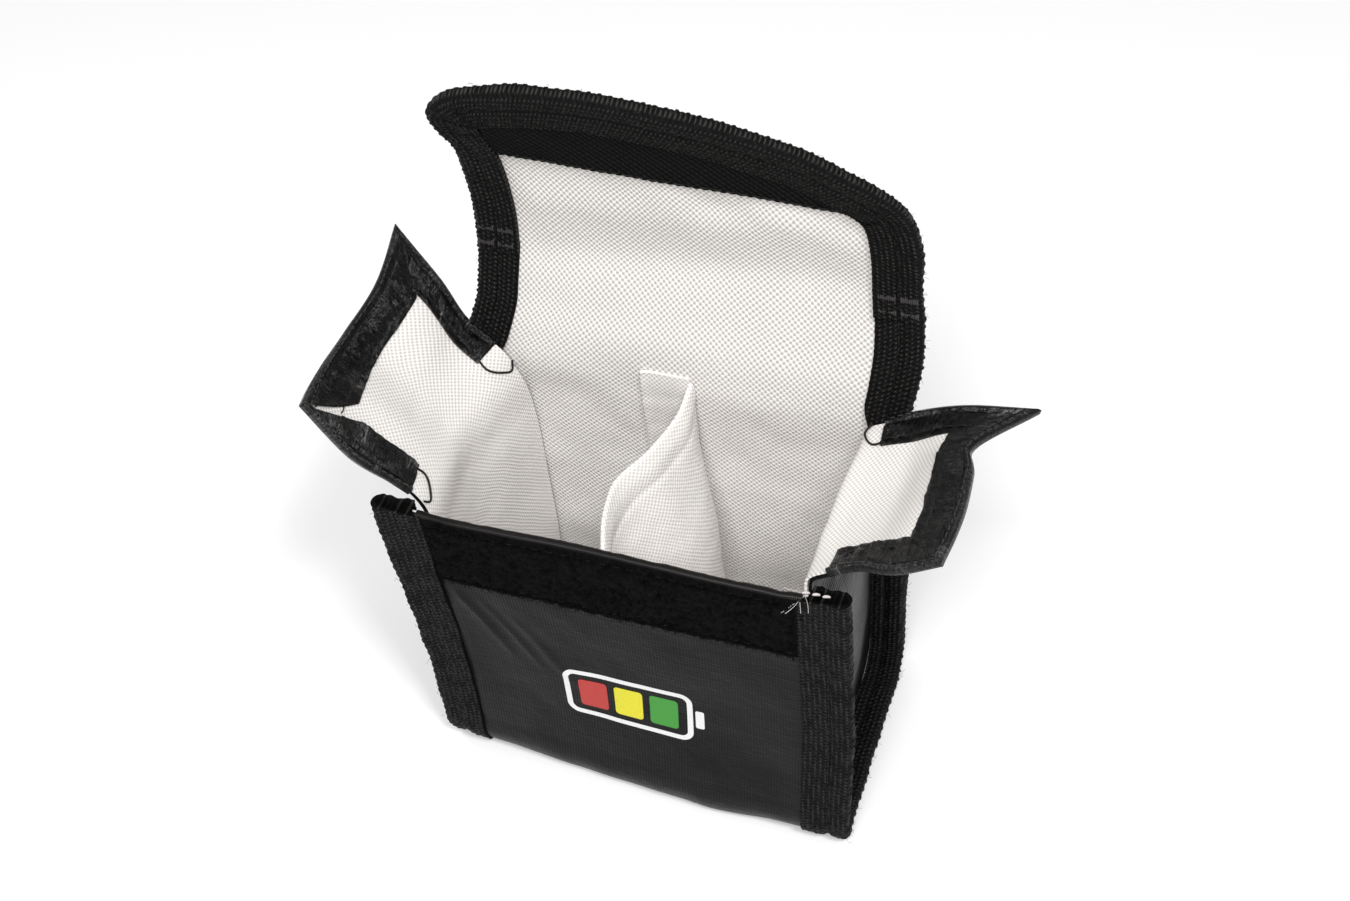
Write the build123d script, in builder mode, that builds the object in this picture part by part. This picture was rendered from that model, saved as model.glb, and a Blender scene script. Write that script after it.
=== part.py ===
from build123d import *
import math
import os

# Fire-resistant cloth pouch for two small drone batteries.
# Frame: origin at the middle of the base, X across the width, -Y the front, +Z up. Millimetres.

# ---- overall size -----------------------------------------------------------
HALF_WIDTH = 50.0          # over the folded edge tapes
HALF_DEPTH = 24.5          # outermost face of the front and back panels
BASE_RADIUS = 5.0          # roll of the cloth from panel to base
FRONT_TOP = 84.0           # mouth height of the front panel
BACK_TOP = 86.2            # height where the back panel reaches the lid crease

# ---- cloth layers, measured inward from the outermost face ------------------
TAPE = 0.6                 # one leaf of woven edge tape
OUTER = 0.8                # coated outer cloth
LINING = 0.5               # white glass-fibre cloth
N_PANEL = TAPE + OUTER                 # 1.4, outer cloth / lining interface
N_LINING = N_PANEL + LINING            # 1.9, inside face of the panels
N_GUSSET_LINING = N_LINING + LINING    # 2.4
N_GUSSET_OUTER = N_GUSSET_LINING + OUTER   # 3.2
N_STACK = N_GUSSET_OUTER + TAPE        # 3.8, complete seam

# ---- stations across the width ----------------------------------------------
X_FOLD = HALF_WIDTH - TAPE     # 49.4, where the tape turns round the raw edges
X_TAPE_OUT = 39.0              # inboard edge of the outside leaf
X_TAPE_IN = 42.0               # inboard edge of the leaf beside the gusset
X_JOGGLE = 38.2                # outer cloth steps down under the tape here
X_WALL = 40.0                  # inside face of the side gusset
X_STITCH = 44.5                # stitch line in the middle of the tape

# ---- side gusset ------------------------------------------------------------
WALL_TOP = 76.0                # gusset wall turns outward above this height
SHOULDER_RISE = 4.5
SHOULDER_RUN = 6.0
SHOULDER_HALF = 20.4           # half depth of the free shoulder
SHOULDER_ROOT = 4.0            # overlap of the shoulder on the wall

# ---- divider ----------------------------------------------------------------
DIVIDER_TOP = 83.0
DIVIDER_HALF = 0.5
DIVIDER_FLANGE = 9.0           # seam allowance turned to the left

# ---- hook and loop closure --------------------------------------------------
LOOP_LOW = 62.0
LOOP_HIGH = 82.4
LOOP_THICK = 1.8
HOOK_THICK = 1.5
STRIP_HALF = 38.95

# ---- sewing thread ----------------------------------------------------------
THREAD_W = 0.4
THREAD_T = 0.25
THREAD_STOP = 1.0              # seams end this far inside the edge they run to
STRIP_STITCH_INSET = 1.2
MOUTH_STITCH_Z = 83.2
MOUTH_STITCH_STOP = 0.5

# ---- lid --------------------------------------------------------------------
LID_PIVOT_Y = 23.25
LID_PIVOT_Z = 88.75
LID_LEAN = 8.5                 # degrees the open lid leans back
LID_GAP = 2.6                  # bare crease between pivot and lid cloth
TONGUE_PIVOT = 52.0            # distance from the lid crease to the tongue crease
CREASE_GAP = 2.0
LID_HALF = N_LINING / 2 + TAPE / 2   # 1.25, half of the taped lid thickness
N_LID_CLOTH = -LID_HALF + TAPE       # back face of the lid's outer cloth
N_LID_LINING = N_LID_CLOTH + OUTER
N_LID_FACE = N_LID_LINING + LINING   # inner face of the lid lining
X_LID_TAPE = 40.0
HOOK_LID_FROM = 43.0
HOOK_CLEAR = 3.2               # hook tape stops this far from the tongue crease

# ---- tongue -----------------------------------------------------------------
TONGUE_CURL = 28.0             # degrees the open tongue curls forward of the lid
TONGUE_LEN = 20.0
TONGUE_RADIUS = 12.0
TONGUE_TAPE = 9.0              # tape width across the tip

# ---- ears -------------------------------------------------------------------
EAR_PIVOT_X = 48.0
EAR_PIVOT_Z = 82.6
EAR_RISE_LEFT = 64.5           # degrees above the outward horizontal
EAR_RISE_RIGHT = 40.0
EAR_LEN = 33.0
EAR_GAP = 1.8
EAR_NARROW = 20.2              # half width beside the panel seams
EAR_WIDE = 21.8                # half width beyond them
EAR_STEP = 9.0                 # where the narrow part widens
EAR_STEP_HALF = 1.0            # half length of the slanted step
HEM_WIDTH = 7.5
HEM_THICK = 0.8
HEM_STITCH_IN = 1.5            # stitch line to the hem's inner edge
HEM_STITCH_FROM = 11.1         # start of the stitch line, from the crease
EAR_THICK = OUTER + LINING

# ---- printed battery symbol -------------------------------------------------
PRINT_T = 0.12
SYMBOL_X = -1.0
SYMBOL_Z = 32.0
SYMBOL_W = 30.0
SYMBOL_H = 15.0
SYMBOL_LINE = 1.4
SYMBOL_CORNER = 2.6
SYMBOL_CORNER_IN = 1.3
NUB_W = 2.2
NUB_H = 6.0
NUB_OVERLAP = 0.1
LEVEL_W = 6.6
LEVEL_H = 9.4
LEVEL_PITCH = 8.4
LEVEL_CORNER = 0.9

os.makedirs("parts", exist_ok=True)

LID_PLANE = Plane(
    origin=(0, LID_PIVOT_Y, LID_PIVOT_Z),
    x_dir=(1, 0, 0),
    z_dir=(0, -math.cos(math.radians(LID_LEAN)), math.sin(math.radians(LID_LEAN))),
)
TONGUE_LEAN = LID_LEAN - TONGUE_CURL
TONGUE_PLANE = Plane(
    origin=LID_PLANE.from_local_coords((0, TONGUE_PIVOT, 0)),
    x_dir=(1, 0, 0),
    z_dir=(0, -math.cos(math.radians(TONGUE_LEAN)), math.sin(math.radians(TONGUE_LEAN))),
)


def ear_plane(side, rise):
    """Plane of an ear: local y runs from the crease to the tip, local z is the lining side."""
    c = math.cos(math.radians(rise))
    s = math.sin(math.radians(rise))
    return Plane(
        origin=(side * EAR_PIVOT_X, 0, EAR_PIVOT_Z),
        x_dir=(0, -side, 0),
        z_dir=(-side * s, 0, c),
    )


def trough(x, n_out, n_in, front=FRONT_TOP, back=BACK_TOP):
    """U-shaped section of one cloth layer (front, base, back) on the plane at x."""
    centre = HALF_DEPTH - BASE_RADIUS
    diagonal = math.sqrt(0.5)
    r_out = BASE_RADIUS - n_out
    r_in = BASE_RADIUS - n_in
    with BuildSketch(Plane.YZ.offset(x)) as face:
        with BuildLine():
            Line((-HALF_DEPTH + n_out, front), (-HALF_DEPTH + n_out, BASE_RADIUS))
            ThreePointArc(
                (-HALF_DEPTH + n_out, BASE_RADIUS),
                (-centre - diagonal * r_out, BASE_RADIUS - diagonal * r_out),
                (-centre, n_out),
            )
            Line((-centre, n_out), (centre, n_out))
            ThreePointArc(
                (centre, n_out),
                (centre + diagonal * r_out, BASE_RADIUS - diagonal * r_out),
                (HALF_DEPTH - n_out, BASE_RADIUS),
            )
            Line((HALF_DEPTH - n_out, BASE_RADIUS), (HALF_DEPTH - n_out, back))
            Line((HALF_DEPTH - n_out, back), (HALF_DEPTH - n_in, back))
            Line((HALF_DEPTH - n_in, back), (HALF_DEPTH - n_in, BASE_RADIUS))
            ThreePointArc(
                (HALF_DEPTH - n_in, BASE_RADIUS),
                (centre + diagonal * r_in, BASE_RADIUS - diagonal * r_in),
                (centre, n_in),
            )
            Line((centre, n_in), (-centre, n_in))
            ThreePointArc(
                (-centre, n_in),
                (-centre - diagonal * r_in, BASE_RADIUS - diagonal * r_in),
                (-HALF_DEPTH + n_in, BASE_RADIUS),
            )
            Line((-HALF_DEPTH + n_in, BASE_RADIUS), (-HALF_DEPTH + n_in, front))
            Line((-HALF_DEPTH + n_in, front), (-HALF_DEPTH + n_out, front))
        make_face()
    return face.sketch


def web(x, n, top):
    """Filled section inside the trough face n, closed by a level top, on the plane at x."""
    wall = HALF_DEPTH - n
    centre = HALF_DEPTH - BASE_RADIUS
    reach = math.sqrt(0.5) * (BASE_RADIUS - n)
    with BuildSketch(Plane.YZ.offset(x)) as face:
        with BuildLine():
            Polyline((-wall, BASE_RADIUS), (-wall, top), (wall, top), (wall, BASE_RADIUS))
            ThreePointArc((wall, BASE_RADIUS), (centre + reach, BASE_RADIUS - reach), (centre, n))
            Line((centre, n), (-centre, n))
            ThreePointArc((-centre, n), (-centre - reach, BASE_RADIUS - reach), (-wall, BASE_RADIUS))
        make_face()
    return face.sketch


def slab(x0, x1, y0, y1, z0, z1, mode=Mode.ADD):
    """Axis-aligned block between opposite corners."""
    with Locations(((x0 + x1) / 2, (y0 + y1) / 2, (z0 + z1) / 2)):
        Box(x1 - x0, y1 - y0, z1 - z0, mode=mode)


def flat(plane, x0, x1, y0, y1, n0, n1, mode=Mode.ADD):
    """Rectangular sheet on a tilted plane, from local height n0 to n1."""
    with BuildSketch(plane.offset(n0)) as face:
        with Locations(((x0 + x1) / 2, (y0 + y1) / 2)):
            Rectangle(x1 - x0, y1 - y0)
    extrude(face.sketch, amount=n1 - n0, mode=mode)


def save(builder, label):
    """Names the piece and writes its own STEP file."""
    builder.part.label = label
    export_step(builder.part, "parts/" + label + ".step")


# ---- main shell -------------------------------------------------------------
with BuildPart() as outer_shell:
    extrude(trough(-X_TAPE_OUT, 0, OUTER), amount=2 * X_TAPE_OUT)
    extrude(trough(-X_FOLD, TAPE, N_PANEL), amount=X_FOLD - X_JOGGLE)
    extrude(trough(X_JOGGLE, TAPE, N_PANEL), amount=X_FOLD - X_JOGGLE)
save(outer_shell, "outer_shell")

with BuildPart() as lining_shell:
    extrude(trough(-X_FOLD, N_PANEL, N_LINING), amount=2 * X_FOLD)
save(lining_shell, "lining_shell")


# ---- side gussets: wall, outward shoulder, and seam flange ------------------
def gusset(side, near, far, n_out, n_in):
    """One cloth of a gusset; near and far are its distances outside the wall's inside face."""
    x_near = X_WALL + near
    x_far = X_WALL + far
    slope = math.atan2(SHOULDER_RISE, SHOULDER_RUN)
    mitre = math.tan(math.pi / 4 - slope / 2)
    lean_x = math.sin(slope)
    lean_z = math.cos(slope)
    start = min(side * x_near, side * X_FOLD)
    extrude(trough(start, n_out, n_in), amount=X_FOLD - x_near)
    extrude(web(min(side * x_near, side * x_far), n_out, WALL_TOP - far * mitre), amount=far - near)
    with BuildSketch(Plane.XZ.offset(-SHOULDER_HALF)) as profile:
        with BuildLine():
            Polyline(
                (side * x_near, WALL_TOP - SHOULDER_ROOT),
                (side * x_near, WALL_TOP - near * mitre),
                (side * (X_WALL + SHOULDER_RUN + near * lean_x), WALL_TOP + SHOULDER_RISE - near * lean_z),
                (side * (X_WALL + SHOULDER_RUN + far * lean_x), WALL_TOP + SHOULDER_RISE - far * lean_z),
                (side * x_far, WALL_TOP - far * mitre),
                (side * x_far, WALL_TOP - SHOULDER_ROOT),
                close=True,
            )
        make_face()
    extrude(profile.sketch, amount=2 * SHOULDER_HALF)


with BuildPart() as left_gusset_lining:
    gusset(-1, 0, LINING, N_LINING, N_GUSSET_LINING)
save(left_gusset_lining, "left_gusset_lining")

with BuildPart() as right_gusset_lining:
    gusset(1, 0, LINING, N_LINING, N_GUSSET_LINING)
save(right_gusset_lining, "right_gusset_lining")

with BuildPart() as left_gusset_outer:
    gusset(-1, LINING, LINING + OUTER, N_GUSSET_LINING, N_GUSSET_OUTER)
save(left_gusset_outer, "left_gusset_outer")

with BuildPart() as right_gusset_outer:
    gusset(1, LINING, LINING + OUTER, N_GUSSET_LINING, N_GUSSET_OUTER)
save(right_gusset_outer, "right_gusset_outer")


# ---- divider: one double cloth across the bag, with its seam allowance ------
with BuildPart() as divider:
    extrude(web(-DIVIDER_HALF, N_LINING, DIVIDER_TOP), amount=2 * DIVIDER_HALF)
    extrude(
        trough(-DIVIDER_FLANGE, N_LINING, N_GUSSET_LINING, DIVIDER_TOP, DIVIDER_TOP),
        amount=DIVIDER_FLANGE - DIVIDER_HALF,
    )
save(divider, "divider")


# ---- edge tapes down both sides of the panels and under the base ------------
def side_tape(side):
    """Tape folded round the raw edges: outside leaf, fold, and leaf beside the gusset."""
    extrude(trough(min(side * X_TAPE_OUT, side * X_FOLD), 0, TAPE), amount=X_FOLD - X_TAPE_OUT)
    extrude(trough(min(side * X_FOLD, side * HALF_WIDTH), 0, N_STACK), amount=TAPE)
    extrude(trough(min(side * X_TAPE_IN, side * X_FOLD), N_GUSSET_OUTER, N_STACK), amount=X_FOLD - X_TAPE_IN)


with BuildPart() as left_side_binding:
    side_tape(-1)
save(left_side_binding, "left_side_binding")

with BuildPart() as right_side_binding:
    side_tape(1)
save(right_side_binding, "right_side_binding")


def side_stitching(side):
    """Stitch line down the front and the back stretch of one side tape."""
    x0 = side * X_STITCH - THREAD_W / 2
    x1 = side * X_STITCH + THREAD_W / 2
    slab(x0, x1, -HALF_DEPTH - THREAD_T, -HALF_DEPTH, BASE_RADIUS, FRONT_TOP - THREAD_STOP)
    slab(x0, x1, HALF_DEPTH, HALF_DEPTH + THREAD_T, BASE_RADIUS, FRONT_TOP - THREAD_STOP)


with BuildPart() as left_binding_thread:
    side_stitching(-1)
save(left_binding_thread, "left_binding_thread")

with BuildPart() as right_binding_thread:
    side_stitching(1)
save(right_binding_thread, "right_binding_thread")

# ---- front closure strip and mouth hem --------------------------------------
STRIP_STITCH_X = STRIP_HALF - STRIP_STITCH_INSET
STRIP_STITCH_LOW = LOOP_LOW + STRIP_STITCH_INSET
STRIP_STITCH_HIGH = LOOP_HIGH - STRIP_STITCH_INSET


def strip_stitching(mode):
    """Rectangular seam sunk into the pile of the loop strip."""
    with BuildSketch(Plane.XZ.offset(HALF_DEPTH + LOOP_THICK - THREAD_T)) as ring:
        with Locations((0, (STRIP_STITCH_LOW + STRIP_STITCH_HIGH) / 2)):
            Rectangle(2 * STRIP_STITCH_X, STRIP_STITCH_HIGH - STRIP_STITCH_LOW)
            Rectangle(
                2 * (STRIP_STITCH_X - THREAD_W),
                STRIP_STITCH_HIGH - STRIP_STITCH_LOW - 2 * THREAD_W,
                mode=Mode.SUBTRACT,
            )
    extrude(ring.sketch, amount=THREAD_T, mode=mode)


with BuildPart() as front_loop_strip:
    slab(-STRIP_HALF, STRIP_HALF, -HALF_DEPTH - LOOP_THICK, -HALF_DEPTH, LOOP_LOW, LOOP_HIGH)
    strip_stitching(Mode.SUBTRACT)
save(front_loop_strip, "front_loop_strip")

with BuildPart() as loop_strip_thread:
    strip_stitching(Mode.ADD)
save(loop_strip_thread, "loop_strip_thread")

HEM_OUT = 0.4
MOUTH_HEM_LOW = 82.6
MOUTH_HEM_TOP = 84.5

with BuildPart() as front_mouth_hem:
    slab(-STRIP_HALF, STRIP_HALF, -HALF_DEPTH - HEM_OUT, -HALF_DEPTH, MOUTH_HEM_LOW, MOUTH_HEM_TOP)
    slab(
        -STRIP_HALF,
        STRIP_HALF,
        -HALF_DEPTH - HEM_OUT,
        -HALF_DEPTH + N_LINING + HEM_OUT,
        FRONT_TOP,
        MOUTH_HEM_TOP,
    )
    slab(
        -STRIP_HALF,
        STRIP_HALF,
        -HALF_DEPTH + N_LINING,
        -HALF_DEPTH + N_LINING + HEM_OUT,
        DIVIDER_TOP,
        MOUTH_HEM_TOP,
    )
save(front_mouth_hem, "front_mouth_hem")

with BuildPart() as mouth_hem_thread:
    slab(
        -STRIP_HALF + MOUTH_STITCH_STOP,
        STRIP_HALF - MOUTH_STITCH_STOP,
        -HALF_DEPTH - HEM_OUT - THREAD_T,
        -HALF_DEPTH - HEM_OUT,
        MOUTH_STITCH_Z,
        MOUTH_STITCH_Z + THREAD_W,
    )
save(mouth_hem_thread, "mouth_hem_thread")

# ---- printed battery symbol on the front panel ------------------------------
PRINT_PLANE = Plane.XZ.offset(HALF_DEPTH)

with BuildPart() as print_white:
    with BuildSketch(PRINT_PLANE) as outline:
        with Locations((SYMBOL_X, SYMBOL_Z)):
            RectangleRounded(SYMBOL_W, SYMBOL_H, SYMBOL_CORNER)
            RectangleRounded(
                SYMBOL_W - 2 * SYMBOL_LINE,
                SYMBOL_H - 2 * SYMBOL_LINE,
                SYMBOL_CORNER_IN,
                mode=Mode.SUBTRACT,
            )
        with Locations((SYMBOL_X + SYMBOL_W / 2 + NUB_W / 2 - NUB_OVERLAP, SYMBOL_Z)):
            Rectangle(NUB_W, NUB_H)
    extrude(outline.sketch, amount=PRINT_T)
save(print_white, "print_white")


def level_bar(index):
    """One charge-level block of the symbol, counted from the left."""
    with BuildSketch(PRINT_PLANE) as bar:
        with Locations((SYMBOL_X + (index - 1) * LEVEL_PITCH, SYMBOL_Z)):
            RectangleRounded(LEVEL_W, LEVEL_H, LEVEL_CORNER)
    extrude(bar.sketch, amount=PRINT_T)


with BuildPart() as print_red:
    level_bar(0)
save(print_red, "print_red")

with BuildPart() as print_yellow:
    level_bar(1)
save(print_yellow, "print_yellow")

with BuildPart() as print_green:
    level_bar(2)
save(print_green, "print_green")

# ---- lid --------------------------------------------------------------------
LID_END = TONGUE_PIVOT - CREASE_GAP

with BuildPart() as lid_outer:
    flat(LID_PLANE, -X_FOLD, X_FOLD, LID_GAP, LID_END, N_LID_CLOTH, N_LID_LINING)
save(lid_outer, "lid_outer")

with BuildPart() as lid_lining:
    flat(LID_PLANE, -X_FOLD, X_FOLD, LID_GAP, LID_END, N_LID_LINING, N_LID_FACE)
save(lid_lining, "lid_lining")


def lid_tape(side):
    """Tape folded round one long edge of the lid."""
    inner = side * X_LID_TAPE
    fold = side * X_FOLD
    edge = side * HALF_WIDTH
    flat(LID_PLANE, min(inner, fold), max(inner, fold), LID_GAP, LID_END, -LID_HALF, N_LID_CLOTH)
    flat(LID_PLANE, min(fold, edge), max(fold, edge), LID_GAP, LID_END, -LID_HALF, LID_HALF)
    flat(LID_PLANE, min(inner, fold), max(inner, fold), LID_GAP, LID_END, N_LID_FACE, LID_HALF)


with BuildPart() as lid_binding_left:
    lid_tape(-1)
save(lid_binding_left, "lid_binding_left")

with BuildPart() as lid_binding_right:
    lid_tape(1)
save(lid_binding_right, "lid_binding_right")

with BuildPart() as lid_binding_thread:
    for x in (-X_STITCH, X_STITCH):
        x0 = x - THREAD_W / 2
        x1 = x + THREAD_W / 2
        y0 = LID_GAP + THREAD_STOP
        y1 = LID_END - THREAD_STOP
        flat(LID_PLANE, x0, x1, y0, y1, LID_HALF, LID_HALF + THREAD_T)
        flat(LID_PLANE, x0, x1, y0, y1, -LID_HALF - THREAD_T, -LID_HALF)
save(lid_binding_thread, "lid_binding_thread")

BAR_TACK_AT = 18.4
BAR_TACK_PITCH = 3.4
BAR_TACK_H = 1.0
BAR_TACK_NEAR = 0.4
BAR_TACK_FAR = 4.2

with BuildPart() as tape_bar_tacks:
    for x in (-X_STITCH, X_STITCH):
        for y in (BAR_TACK_AT, BAR_TACK_AT + BAR_TACK_PITCH):
            for x0, x1 in ((x - BAR_TACK_FAR, x - BAR_TACK_NEAR), (x + BAR_TACK_NEAR, x + BAR_TACK_FAR)):
                flat(LID_PLANE, x0, x1, y, y + BAR_TACK_H, LID_HALF, LID_HALF + THREAD_T)
save(tape_bar_tacks, "tape_bar_tacks")

HOOK_SIDE_CLEAR = 0.3
HOOK_HALF = X_LID_TAPE - HOOK_SIDE_CLEAR

with BuildPart() as hook_strip_lid_part:
    flat(
        LID_PLANE,
        -HOOK_HALF,
        HOOK_HALF,
        HOOK_LID_FROM,
        TONGUE_PIVOT - HOOK_CLEAR,
        N_LID_FACE,
        N_LID_FACE + HOOK_THICK,
    )
save(hook_strip_lid_part, "hook_strip_lid_part")

with BuildPart() as hook_strip_thread:
    flat(
        LID_PLANE,
        -HOOK_HALF + THREAD_STOP,
        HOOK_HALF - THREAD_STOP,
        HOOK_LID_FROM + THREAD_STOP,
        HOOK_LID_FROM + THREAD_STOP + THREAD_W,
        N_LID_FACE + HOOK_THICK,
        N_LID_FACE + HOOK_THICK + THREAD_T,
    )
save(hook_strip_thread, "hook_strip_thread")


# ---- tongue: the rounded end of the lid that turns down over the front ------
def tongue_layer(n0, n1, half, tip, radius, mode=Mode.ADD):
    """Sheet with rounded tip corners on the tongue plane, from local height n0 to n1."""
    with BuildSketch(TONGUE_PLANE.offset(n0)) as face:
        with BuildLine():
            Line((-half, CREASE_GAP), (half, CREASE_GAP))
            Line((half, CREASE_GAP), (half, tip - radius))
            RadiusArc((half, tip - radius), (half - radius, tip), -radius)
            Line((half - radius, tip), (-half + radius, tip))
            RadiusArc((-half + radius, tip), (-half, tip - radius), -radius)
            Line((-half, tip - radius), (-half, CREASE_GAP))
        make_face()
    extrude(face.sketch, amount=n1 - n0, mode=mode)


TONGUE_FOLD = TONGUE_LEN - TAPE
TONGUE_INNER = TONGUE_LEN - TONGUE_TAPE
INNER_RADIUS = 4.0

with BuildPart() as tongue_outer:
    tongue_layer(N_LID_CLOTH, N_LID_LINING, X_FOLD, TONGUE_FOLD, TONGUE_RADIUS - TAPE)
save(tongue_outer, "tongue_outer")

with BuildPart() as tongue_lining:
    tongue_layer(N_LID_LINING, N_LID_FACE, X_FOLD, TONGUE_FOLD, TONGUE_RADIUS - TAPE)
save(tongue_lining, "tongue_lining")

with BuildPart() as tongue_binding:
    tongue_layer(-LID_HALF, LID_HALF, HALF_WIDTH, TONGUE_LEN, TONGUE_RADIUS)
    tongue_layer(N_LID_CLOTH, N_LID_FACE, X_FOLD, TONGUE_FOLD, TONGUE_RADIUS - TAPE, mode=Mode.SUBTRACT)
    tongue_layer(N_LID_FACE, LID_HALF, X_LID_TAPE, TONGUE_INNER, INNER_RADIUS, mode=Mode.SUBTRACT)
    tongue_layer(-LID_HALF, N_LID_CLOTH, X_LID_TAPE, TONGUE_INNER, INNER_RADIUS, mode=Mode.SUBTRACT)
save(tongue_binding, "tongue_binding")

THREAD_INSET = HALF_WIDTH - X_STITCH
HOOK_TONGUE_HALF = HOOK_HALF - INNER_RADIUS
HOOK_TIP_CLEAR = 0.1

with BuildPart() as tongue_binding_thread:
    tongue_layer(
        LID_HALF,
        LID_HALF + THREAD_T,
        X_STITCH + THREAD_W / 2,
        TONGUE_LEN - THREAD_INSET + THREAD_W / 2,
        TONGUE_RADIUS - THREAD_INSET + THREAD_W / 2,
    )
    tongue_layer(
        LID_HALF,
        LID_HALF + THREAD_T,
        X_STITCH - THREAD_W / 2,
        TONGUE_LEN - THREAD_INSET - THREAD_W / 2,
        TONGUE_RADIUS - THREAD_INSET - THREAD_W / 2,
        mode=Mode.SUBTRACT,
    )
save(tongue_binding_thread, "tongue_binding_thread")

with BuildPart() as hook_strip_tongue_part:
    flat(
        TONGUE_PLANE,
        -HOOK_TONGUE_HALF,
        HOOK_TONGUE_HALF,
        HOOK_CLEAR,
        TONGUE_INNER - HOOK_TIP_CLEAR,
        N_LID_FACE,
        N_LID_FACE + HOOK_THICK,
    )
save(hook_strip_tongue_part, "hook_strip_tongue_part")


# ---- ears: loose flaps of the gussets that tuck in under the lid ------------
def ear_layer(plane, n0, n1, inset, mode=Mode.ADD, start=EAR_GAP):
    """Ear profile, narrow beside the panel seams and wide beyond, inset at the free edges."""
    wide = EAR_WIDE - inset
    narrow = EAR_NARROW - inset
    with BuildSketch(plane.offset(n0)) as face:
        with BuildLine():
            Polyline(
                (-narrow, start),
                (-narrow, EAR_STEP - EAR_STEP_HALF),
                (-wide, EAR_STEP + EAR_STEP_HALF),
                (-wide, EAR_LEN - inset),
                (wide, EAR_LEN - inset),
                (wide, EAR_STEP + EAR_STEP_HALF),
                (narrow, EAR_STEP - EAR_STEP_HALF),
                (narrow, start),
                close=True,
            )
        make_face()
    extrude(face.sketch, amount=n1 - n0, mode=mode)


def ear_frame(plane, n0, n1, reach, start, mode=Mode.ADD):
    """Three-sided band along the free edges of an ear, from n0 to n1."""
    flat(plane, -EAR_WIDE, -EAR_WIDE + reach, start, EAR_LEN, n0, n1, mode=mode)
    flat(plane, EAR_WIDE - reach, EAR_WIDE, start, EAR_LEN, n0, n1, mode=mode)
    flat(plane, -EAR_WIDE, EAR_WIDE, EAR_LEN - reach, EAR_LEN, n0, n1, mode=mode)


def ear_stitching(plane):
    """Stitch line on the face of the hem, near its inner edge."""
    near = HEM_WIDTH - HEM_STITCH_IN
    x0 = EAR_WIDE - near
    for x in (-x0, x0 - THREAD_W):
        flat(plane, x, x + THREAD_W, HEM_STITCH_FROM, EAR_LEN - near, HEM_THICK, HEM_THICK + THREAD_T)
    flat(plane, -x0, x0, EAR_LEN - near, EAR_LEN - near + THREAD_W, HEM_THICK, HEM_THICK + THREAD_T)


LEFT_EAR_PLANE = ear_plane(-1, EAR_RISE_LEFT)
RIGHT_EAR_PLANE = ear_plane(1, EAR_RISE_RIGHT)
HEM_FOLD = 0.6
HEM_START = EAR_STEP + EAR_STEP_HALF

with BuildPart() as left_ear_outer:
    ear_layer(LEFT_EAR_PLANE, -EAR_THICK, -LINING, HEM_FOLD)
save(left_ear_outer, "left_ear_outer")

with BuildPart() as left_ear_lining:
    ear_layer(LEFT_EAR_PLANE, -LINING, 0, HEM_FOLD)
save(left_ear_lining, "left_ear_lining")

with BuildPart() as left_ear_hem:
    ear_frame(LEFT_EAR_PLANE, -EAR_THICK, 0, HEM_FOLD, HEM_START)
    ear_frame(LEFT_EAR_PLANE, 0, HEM_THICK, HEM_WIDTH, HEM_START)
save(left_ear_hem, "left_ear_hem")

with BuildPart() as left_ear_thread:
    ear_stitching(LEFT_EAR_PLANE)
save(left_ear_thread, "left_ear_thread")

with BuildPart() as right_ear_outer:
    ear_layer(RIGHT_EAR_PLANE, -EAR_THICK, -LINING, HEM_FOLD)
save(right_ear_outer, "right_ear_outer")

with BuildPart() as right_ear_lining:
    ear_layer(RIGHT_EAR_PLANE, -LINING, 0, HEM_FOLD)
save(right_ear_lining, "right_ear_lining")

with BuildPart() as right_ear_hem:
    ear_frame(RIGHT_EAR_PLANE, -EAR_THICK, 0, HEM_FOLD, HEM_START)
    ear_frame(RIGHT_EAR_PLANE, 0, HEM_THICK, HEM_WIDTH, HEM_START)
save(right_ear_hem, "right_ear_hem")

with BuildPart() as right_ear_thread:
    ear_stitching(RIGHT_EAR_PLANE)
save(right_ear_thread, "right_ear_thread")
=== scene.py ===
import math

import bmesh
import bpy
import numpy as np
from mathutils import Matrix, Vector


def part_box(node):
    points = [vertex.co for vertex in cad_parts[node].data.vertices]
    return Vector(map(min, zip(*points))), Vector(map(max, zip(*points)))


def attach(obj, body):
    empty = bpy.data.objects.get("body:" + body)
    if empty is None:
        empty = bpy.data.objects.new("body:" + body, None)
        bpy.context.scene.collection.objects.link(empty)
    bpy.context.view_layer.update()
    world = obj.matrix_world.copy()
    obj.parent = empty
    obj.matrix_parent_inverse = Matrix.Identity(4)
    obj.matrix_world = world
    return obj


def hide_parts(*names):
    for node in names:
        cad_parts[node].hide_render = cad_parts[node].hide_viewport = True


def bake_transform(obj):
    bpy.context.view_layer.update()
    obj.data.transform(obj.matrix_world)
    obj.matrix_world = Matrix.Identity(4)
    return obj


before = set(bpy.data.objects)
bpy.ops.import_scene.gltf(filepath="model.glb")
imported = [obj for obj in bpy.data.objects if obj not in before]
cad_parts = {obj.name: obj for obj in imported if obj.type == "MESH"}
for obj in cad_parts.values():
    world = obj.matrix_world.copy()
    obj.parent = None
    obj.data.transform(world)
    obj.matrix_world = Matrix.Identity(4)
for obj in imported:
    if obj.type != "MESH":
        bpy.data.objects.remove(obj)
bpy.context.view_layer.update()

MM = 0.001


# ---------------------------------------------------------------- small maths
def ease(low, high, x):
    """0 below low, 1 above high, smooth between."""
    t = np.clip((np.asarray(x, float) - low) / (high - low), 0, 1)
    return t * t * (3 - 2 * t)


def hump(x, centre, width):
    return np.exp(-(((np.asarray(x, float) - centre) / width) ** 2))


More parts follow.
